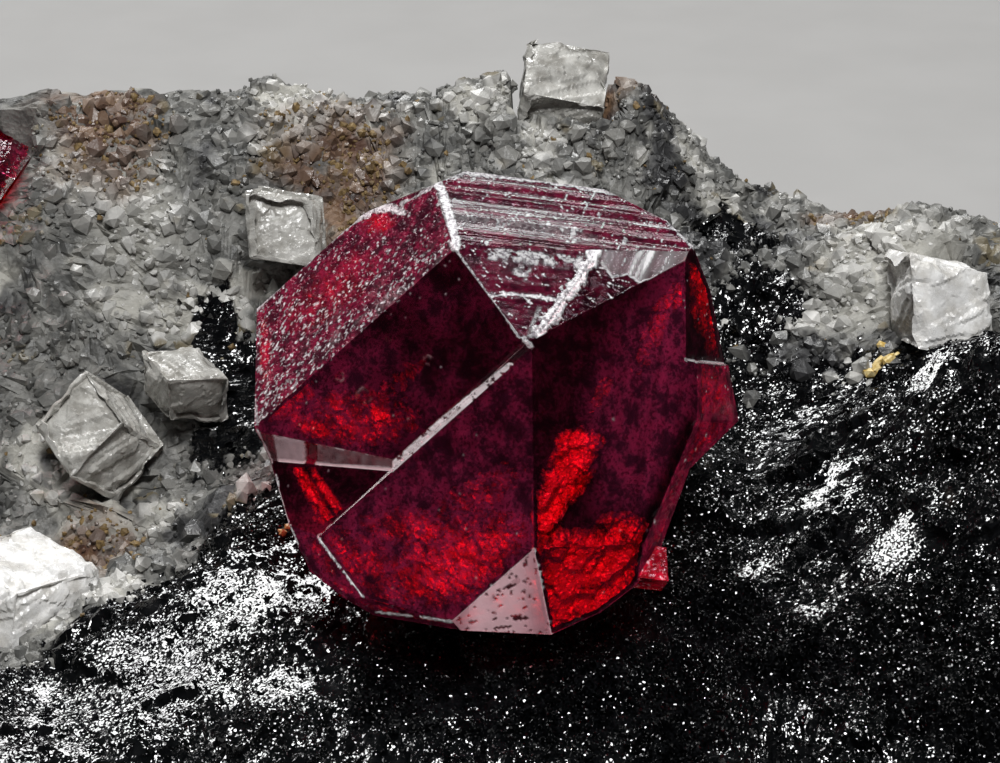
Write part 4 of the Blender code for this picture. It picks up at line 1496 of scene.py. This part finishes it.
def surface_normals(x, y, height):
    """Directions out of a bent grid."""
    xu, xv = np.gradient(x)
    yu, yv = np.gradient(y)
    zu, zv = np.gradient(height)
    area = xu * yv - xv * yu
    area = np.where(np.abs(area) < LEAST_AREA, LEAST_AREA, area)
    slope_x = np.clip((zu * yv - zv * yu) / area, -STEEPEST, STEEPEST)
    slope_y = np.clip((zv * xu - zu * xv) / area, -STEEPEST, STEEPEST)
    normal = np.stack([-slope_x.ravel(), -slope_y.ravel(), np.ones(x.size)], -1)
    return normal / np.linalg.norm(normal, axis=1)[:, None]


def grid_faces(shape):
    """Squares between neighbouring grid points."""
    number = np.arange(shape[0] * shape[1]).reshape(shape)
    a, b, c, d = number[:-1, :-1], number[1:, :-1], number[1:, 1:], number[:-1, 1:]
    return np.stack([a, b, c, d], -1).reshape(-1, 4).tolist()


def outer_ring(shape):
    """Numbers of the grid points round the outer ring, turning the way the angle grows."""
    last = shape[0] - 1
    ring = [(last, v) for v in range(last)] + [(u, last) for u in range(last, 0, -1)]
    ring += [(0, v) for v in range(last, 0, -1)] + [(u, 0) for u in range(last)]
    return [u * shape[1] + v for u, v in ring]


def wall_rows(rock, direction, top):
    """Rows of points down the broken sides to the floor, and the faces between the rim and all rows."""
    ring = outer_ring(direction.shape)
    rim, angles = top[ring], direction.ravel()[ring]
    out = np.stack([np.cos(angles), np.sin(angles), np.zeros(len(ring))], -1)
    start = np.hypot(rim[:, 0], rim[:, 1])
    rows = []
    for row in range(1, WALL_ROWS + 1):
        level = rim[:, 2] * (1 - row / WALL_ROWS)
        read = np.minimum(np.maximum(level, WALL_LOWEST), rim[:, 2] - WALL_BELOW_RIM)
        plain = np.array([rock.wall(angle, height) for angle, height in zip(angles, read)])
        upward = np.array([0, 0, 1.0]) * level[:, None]
        relief = wall_relief(out * plain[:, None] + upward)
        fade = smooth_step(0.0, 0.25, row / WALL_ROWS) if row < WALL_ROWS else 0.4
        blend = smooth_step(0, 3, row)
        reach = (plain + relief * fade) * blend + start * (1 - blend)
        rows.append(out * reach[:, None] + upward)
    firsts = [len(top) + row * len(ring) for row in range(WALL_ROWS)]
    numbers = [ring] + [list(range(first, first + len(ring))) for first in firsts]
    faces = []
    for high, low in zip(numbers, numbers[1:]):
        faces += [[a, c, d, b] for a, b, c, d in zip(high, high[1:] + high[:1], low, low[1:] + low[:1])]
    return np.vstack(rows), faces


def bottom_fan(middle, first):
    """Triangles that close the underside between its middle point and the last row of the sides."""
    count = middle - first
    return [[middle, first + (turn + 1) % count, first + turn] for turn in range(count)]


def make_rock(material):
    """The whole rock. Gives the points, directions and pale share of its top, for the grains on it."""
    rock = Rock()
    share, direction = square_grid()
    x, y, height = rock_top(rock, share, direction)
    top, normal = np.stack([x.ravel(), y.ravel(), height.ravel()], -1), surface_normals(x, y, height)
    pale = pale_share(top)
    inner = smooth_step(1.0, 0.97, share.ravel())
    shifted = top + normal * (rock_relief(top, pale) * (0.25 + 0.75 * inner))[:, None]
    for point in shifted:
        point[2] = min(point[2], rock.crystal_bottom(point[0], point[1]) - SINK)
    walls, wall_faces = wall_rows(rock, direction, shifted)
    points = np.vstack([shifted, walls, [[0.0, 0.0, 0.0]]])
    points[:, 2] = np.maximum(points[:, 2], 0.0)
    middle = len(points) - 1
    faces = grid_faces(share.shape) + wall_faces + bottom_fan(middle, middle - len(outer_ring(share.shape)))
    item = make_mesh("matrix_rock", points, faces, material)
    add_attribute(item, "pale", pale_share(points))
    add_patches(item, points)
    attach(item, "root")
    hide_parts("matrix")
    return shifted, normal, pale


# ---------------------------------------------------------------- grains on the rock

# Shapes of grains: corners, faces and how far the corners are shaken. A block leans, a crumb has twenty
# faces.
GOLDEN = (1 + math.sqrt(5)) / 2
BLOCK_CORNERS = np.array([[x, y, z] for x in (-1, 1) for y in (-1, 1) for z in (-1, 1)], float)
BLOCK_CORNERS = BLOCK_CORNERS @ np.array([[1, 0.25, 0.2], [0, 1, 0.25], [0, 0, 1]])
BLOCK_FACES = ((0, 1, 3), (0, 3, 2), (4, 6, 7), (4, 7, 5), (0, 4, 5), (0, 5, 1),
               (2, 3, 7), (2, 7, 6), (0, 2, 6), (0, 6, 4), (1, 5, 7), (1, 7, 3))
CRUMB_CORNERS = np.array([
    (-1, GOLDEN, 0), (1, GOLDEN, 0), (-1, -GOLDEN, 0), (1, -GOLDEN, 0),
    (0, -1, GOLDEN), (0, 1, GOLDEN), (0, -1, -GOLDEN), (0, 1, -GOLDEN),
    (GOLDEN, 0, -1), (GOLDEN, 0, 1), (-GOLDEN, 0, -1), (-GOLDEN, 0, 1)]) / GOLDEN
CRUMB_FACES = ((0, 11, 5), (0, 5, 1), (0, 1, 7), (0, 7, 10), (0, 10, 11), (1, 5, 9), (5, 11, 4),
               (11, 10, 2), (10, 7, 6), (7, 1, 8), (3, 9, 4), (3, 4, 2), (3, 2, 6), (3, 6, 8),
               (3, 8, 9), (4, 9, 5), (2, 4, 11), (6, 2, 10), (8, 6, 7), (9, 8, 1))
BLOCK, CRUMB = (BLOCK_CORNERS, BLOCK_FACES, 0.22), (CRUMB_CORNERS, CRUMB_FACES, 0.26)
# Grains of each piece: how many, their shape, smallest and largest size, how loosely they tip, the share of
# their size that is sunk, and the seed.
GRAINS = {"ore_grains": (12000, BLOCK, 0.05, 0.20, 0.30, 0.72, 5),
          "gangue_grains": (9800, CRUMB, 0.10, 0.55, 1.0, 0.66, 6),
          "ochre_crust": (1300, CRUMB, 0.08, 0.26, 1.0, 0.62, 7),
          "yellow_grains_left": (3, CRUMB, 0.14, 0.24, 1.0, 0.45, 8),
          "yellow_grains_right": (7, CRUMB, 0.22, 0.42, 1.0, 0.45, 8)}
# Middle and reach of the yellow grains.
YELLOW_SPOTS = {"yellow_grains_left": (-4.7, -1.4, 0.10), "yellow_grains_right": (8.8, 4.1, 0.30)}
# The power that makes most grains small, and how far a grain strays from its place.
MOSTLY_SMALL, STRAY = 2.2, 0.05
# An ellipse a little inside the rock's rim, the share of it that carries grains, and how far these stay away
# from a crystal.
ELLIPSE_X, ELLIPSE_Y, GRAIN_SHARE, GRAIN_CLEAR = 18.2, 13.8, 0.98, 0.30


def turned(rng, normal, loose):
    """A random turn about a direction, tipped loosely."""
    tipped = Vector(normal) + Vector(rng.uniform(-loose, loose, 3))
    turn = tipped.to_track_quat("Z", "Y") @ Matrix.Rotation(rng.uniform(0, math.tau), 3, "Z").to_quaternion()
    return np.array(turn.to_matrix())


def scatter_grains(name, points, normals, chance, material):
    """Angular grains grown half into the rock's surface, joined in one mesh."""
    count, (plain, plain_faces, shake), smallest, largest, loose, sunk, seed = GRAINS[name]
    rng = np.random.default_rng(seed)
    chosen = rng.choice(len(points), size=count, replace=False, p=chance / chance.sum())
    corners, faces, tones = [], [], []
    for number in chosen:
        size = smallest * (largest / smallest) ** (rng.random() ** MOSTLY_SMALL)
        block = plain * (1, rng.uniform(0.6, 1.0), rng.uniform(0.6, 1.0))
        block += rng.uniform(-shake, shake, plain.shape)
        turn = turned(rng, normals[number], loose)
        middle = points[number] + rng.uniform(-STRAY, STRAY, 3) + normals[number] * size * (0.5 - sunk)
        tones.append(rng.random())
        first = len(corners)
        corners.extend(block @ turn.T * size / 2 + middle)
        faces.extend([first + a, first + b, first + c] for a, b, c in plain_faces)
    item = make_mesh(name, np.array(corners), faces, material)
    add_patches(item, np.array(corners))
    add_attribute(item, "tone", np.repeat(tones, len(plain)))
    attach(item, "root")


def clear_of_crystals(points):
    """0 at places where a grain would touch a seated crystal, and 1 elsewhere."""
    seated = seated_crystals()
    return np.array([seated.find_nearest(Vector(point), GRAIN_CLEAR)[0] is None for point in points], float)


def uneven(points, size, seed):
    """How thickly grains lie: in loose drifts."""
    return 0.25 + smooth_step(-0.2, 0.5, noise(points, size, seed, 2))


def make_grains(points, normals, pale):
    """Ore blocks in front, gangue crumbs behind, ochre crust on the rusty spots and a few yellow grains."""
    yellow = yellow_grain_material()
    x, y = points[:, 0], points[:, 1]
    free = clear_of_crystals(points) * (np.hypot(x / ELLIPSE_X, y / ELLIPSE_Y) < GRAIN_SHARE)
    front = 0.35 + smooth_step(2.0, -4.0, y)
    patchy = uneven(points, 1.6, 191) * (1 - 0.8 * patch_share(points, "dull"))
    scatter_grains("ore_grains", points, normals, free * (1 - pale) * front * patchy, ore_grain_material())
    patchy = uneven(points, 1.9, 193)
    scatter_grains("gangue_grains", points, normals, free * pale * patchy, gangue_grain_material())
    rusty = patch_share(points, "stain") * pale + 0.02 * pale
    scatter_grains("ochre_crust", points, normals, free * rusty, ochre_material())
    for name, (middle_x, middle_y, reach) in YELLOW_SPOTS.items():
        near = np.exp(-(np.hypot(x - middle_x, y - middle_y) / reach) ** 2)
        scatter_grains(name, points, normals, near, yellow)


# ---------------------------------------------------------------- stage

# Square lamps: azimuth and elevation in degrees (azimuth 0 is +Y and 90 is +X), side in metres and radiance.
LAMPS = {"back_lamp": (-32, 50, 0.10, 18.0), "front_lamp": (172, 62, 0.08, 40.0),
         "top_face_lamp": (8, 38, 0.07, 7.0), "side_facet_lamp": (110, 74, 0.040, 20.0)}
# Distance of every lamp from the crystal in metres.
LAMP_DISTANCE = 0.30
ROOM_COLOUR, ROOM_STRENGTH = (0.95, 0.97, 1.0, 1.0), 0.025
FLOOR_HALF = 900.0
CAMERA_NEAREST, CAMERA_FARTHEST = 0.001, 10.0
# How white the calcites are: most of them, and the whiter ones.
CALCITE_WHITE = 0.25
WHITER_CALCITES = {"calcite_right_saddle": 1.0, "calcite_left_front": 1.0}


def aimed_lamp(name, azimuth, elevation, size, radiance):
    """A soft square lamp that faces the crystal."""
    lamp = bpy.data.lights.new(name, "AREA")
    lamp.shape = "SQUARE"
    lamp.size = size
    lamp.energy = radiance * math.pi * size * size
    item = bpy.data.objects.new(name, lamp)
    bpy.context.scene.collection.objects.link(item)
    turn, rise = math.radians(azimuth), math.radians(elevation)
    away = Vector((math.sin(turn) * math.cos(rise), math.cos(turn) * math.cos(rise), math.sin(rise)))
    item.location = CRYSTAL_CENTRE * MM + away * LAMP_DISTANCE
    item.rotation_euler = (-away).to_track_quat("-Z", "Y").to_euler()
    item.visible_camera = False


def make_camera():
    """The photograph's camera, looking down at the crystal's middle."""
    camera = bpy.data.cameras.new("photo_camera")
    camera.lens, camera.sensor_width = LENS, SENSOR
    camera.clip_start, camera.clip_end = CAMERA_NEAREST, CAMERA_FARTHEST
    item = bpy.data.objects.new("photo_camera", camera)
    bpy.context.scene.collection.objects.link(item)
    down = math.radians(CAMERA_DOWN)
    toward = Vector((0.0, -math.cos(down), math.sin(down)))
    item.location = (CRYSTAL_CENTRE + toward * CAMERA_DISTANCE) * MM
    item.rotation_euler = (math.radians(90 - CAMERA_DOWN), 0.0, 0.0)
    bpy.context.scene.camera = item


def make_stage():
    """Pale floor, dim room and soft lamps."""
    half = FLOOR_HALF
    corners = [(-half, -half, 0), (half, -half, 0), (half, half, 0), (-half, half, 0)]
    make_mesh("floor", corners, [(0, 1, 2, 3)], floor_material())
    world = bpy.data.worlds.new("dim_room")
    world.use_nodes = True
    world.node_tree.nodes["Background"].inputs["Color"].default_value = ROOM_COLOUR
    world.node_tree.nodes["Background"].inputs["Strength"].default_value = ROOM_STRENGTH
    bpy.context.scene.world = world
    for name, setting in LAMPS.items():
        aimed_lamp(name, *setting)


def main():
    """Builds the whole scene."""
    bpy.context.scene.view_settings.view_transform = "Standard"
    make_camera()
    make_stage()
    cinnabar = cinnabar_material()
    make_large_crystal(cinnabar)
    make_glows(glow_material())
    make_small_crystal("rear_cinnabar_crystal", "cinnabar_rear_crystal", cinnabar)
    calcite = calcite_material()
    for node in sorted(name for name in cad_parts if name.startswith("calcite")):
        make_small_crystal(node, node + "_skin", calcite, WHITER_CALCITES.get(node, CALCITE_WHITE))
    make_grains(*make_rock(ore_material()))


main()
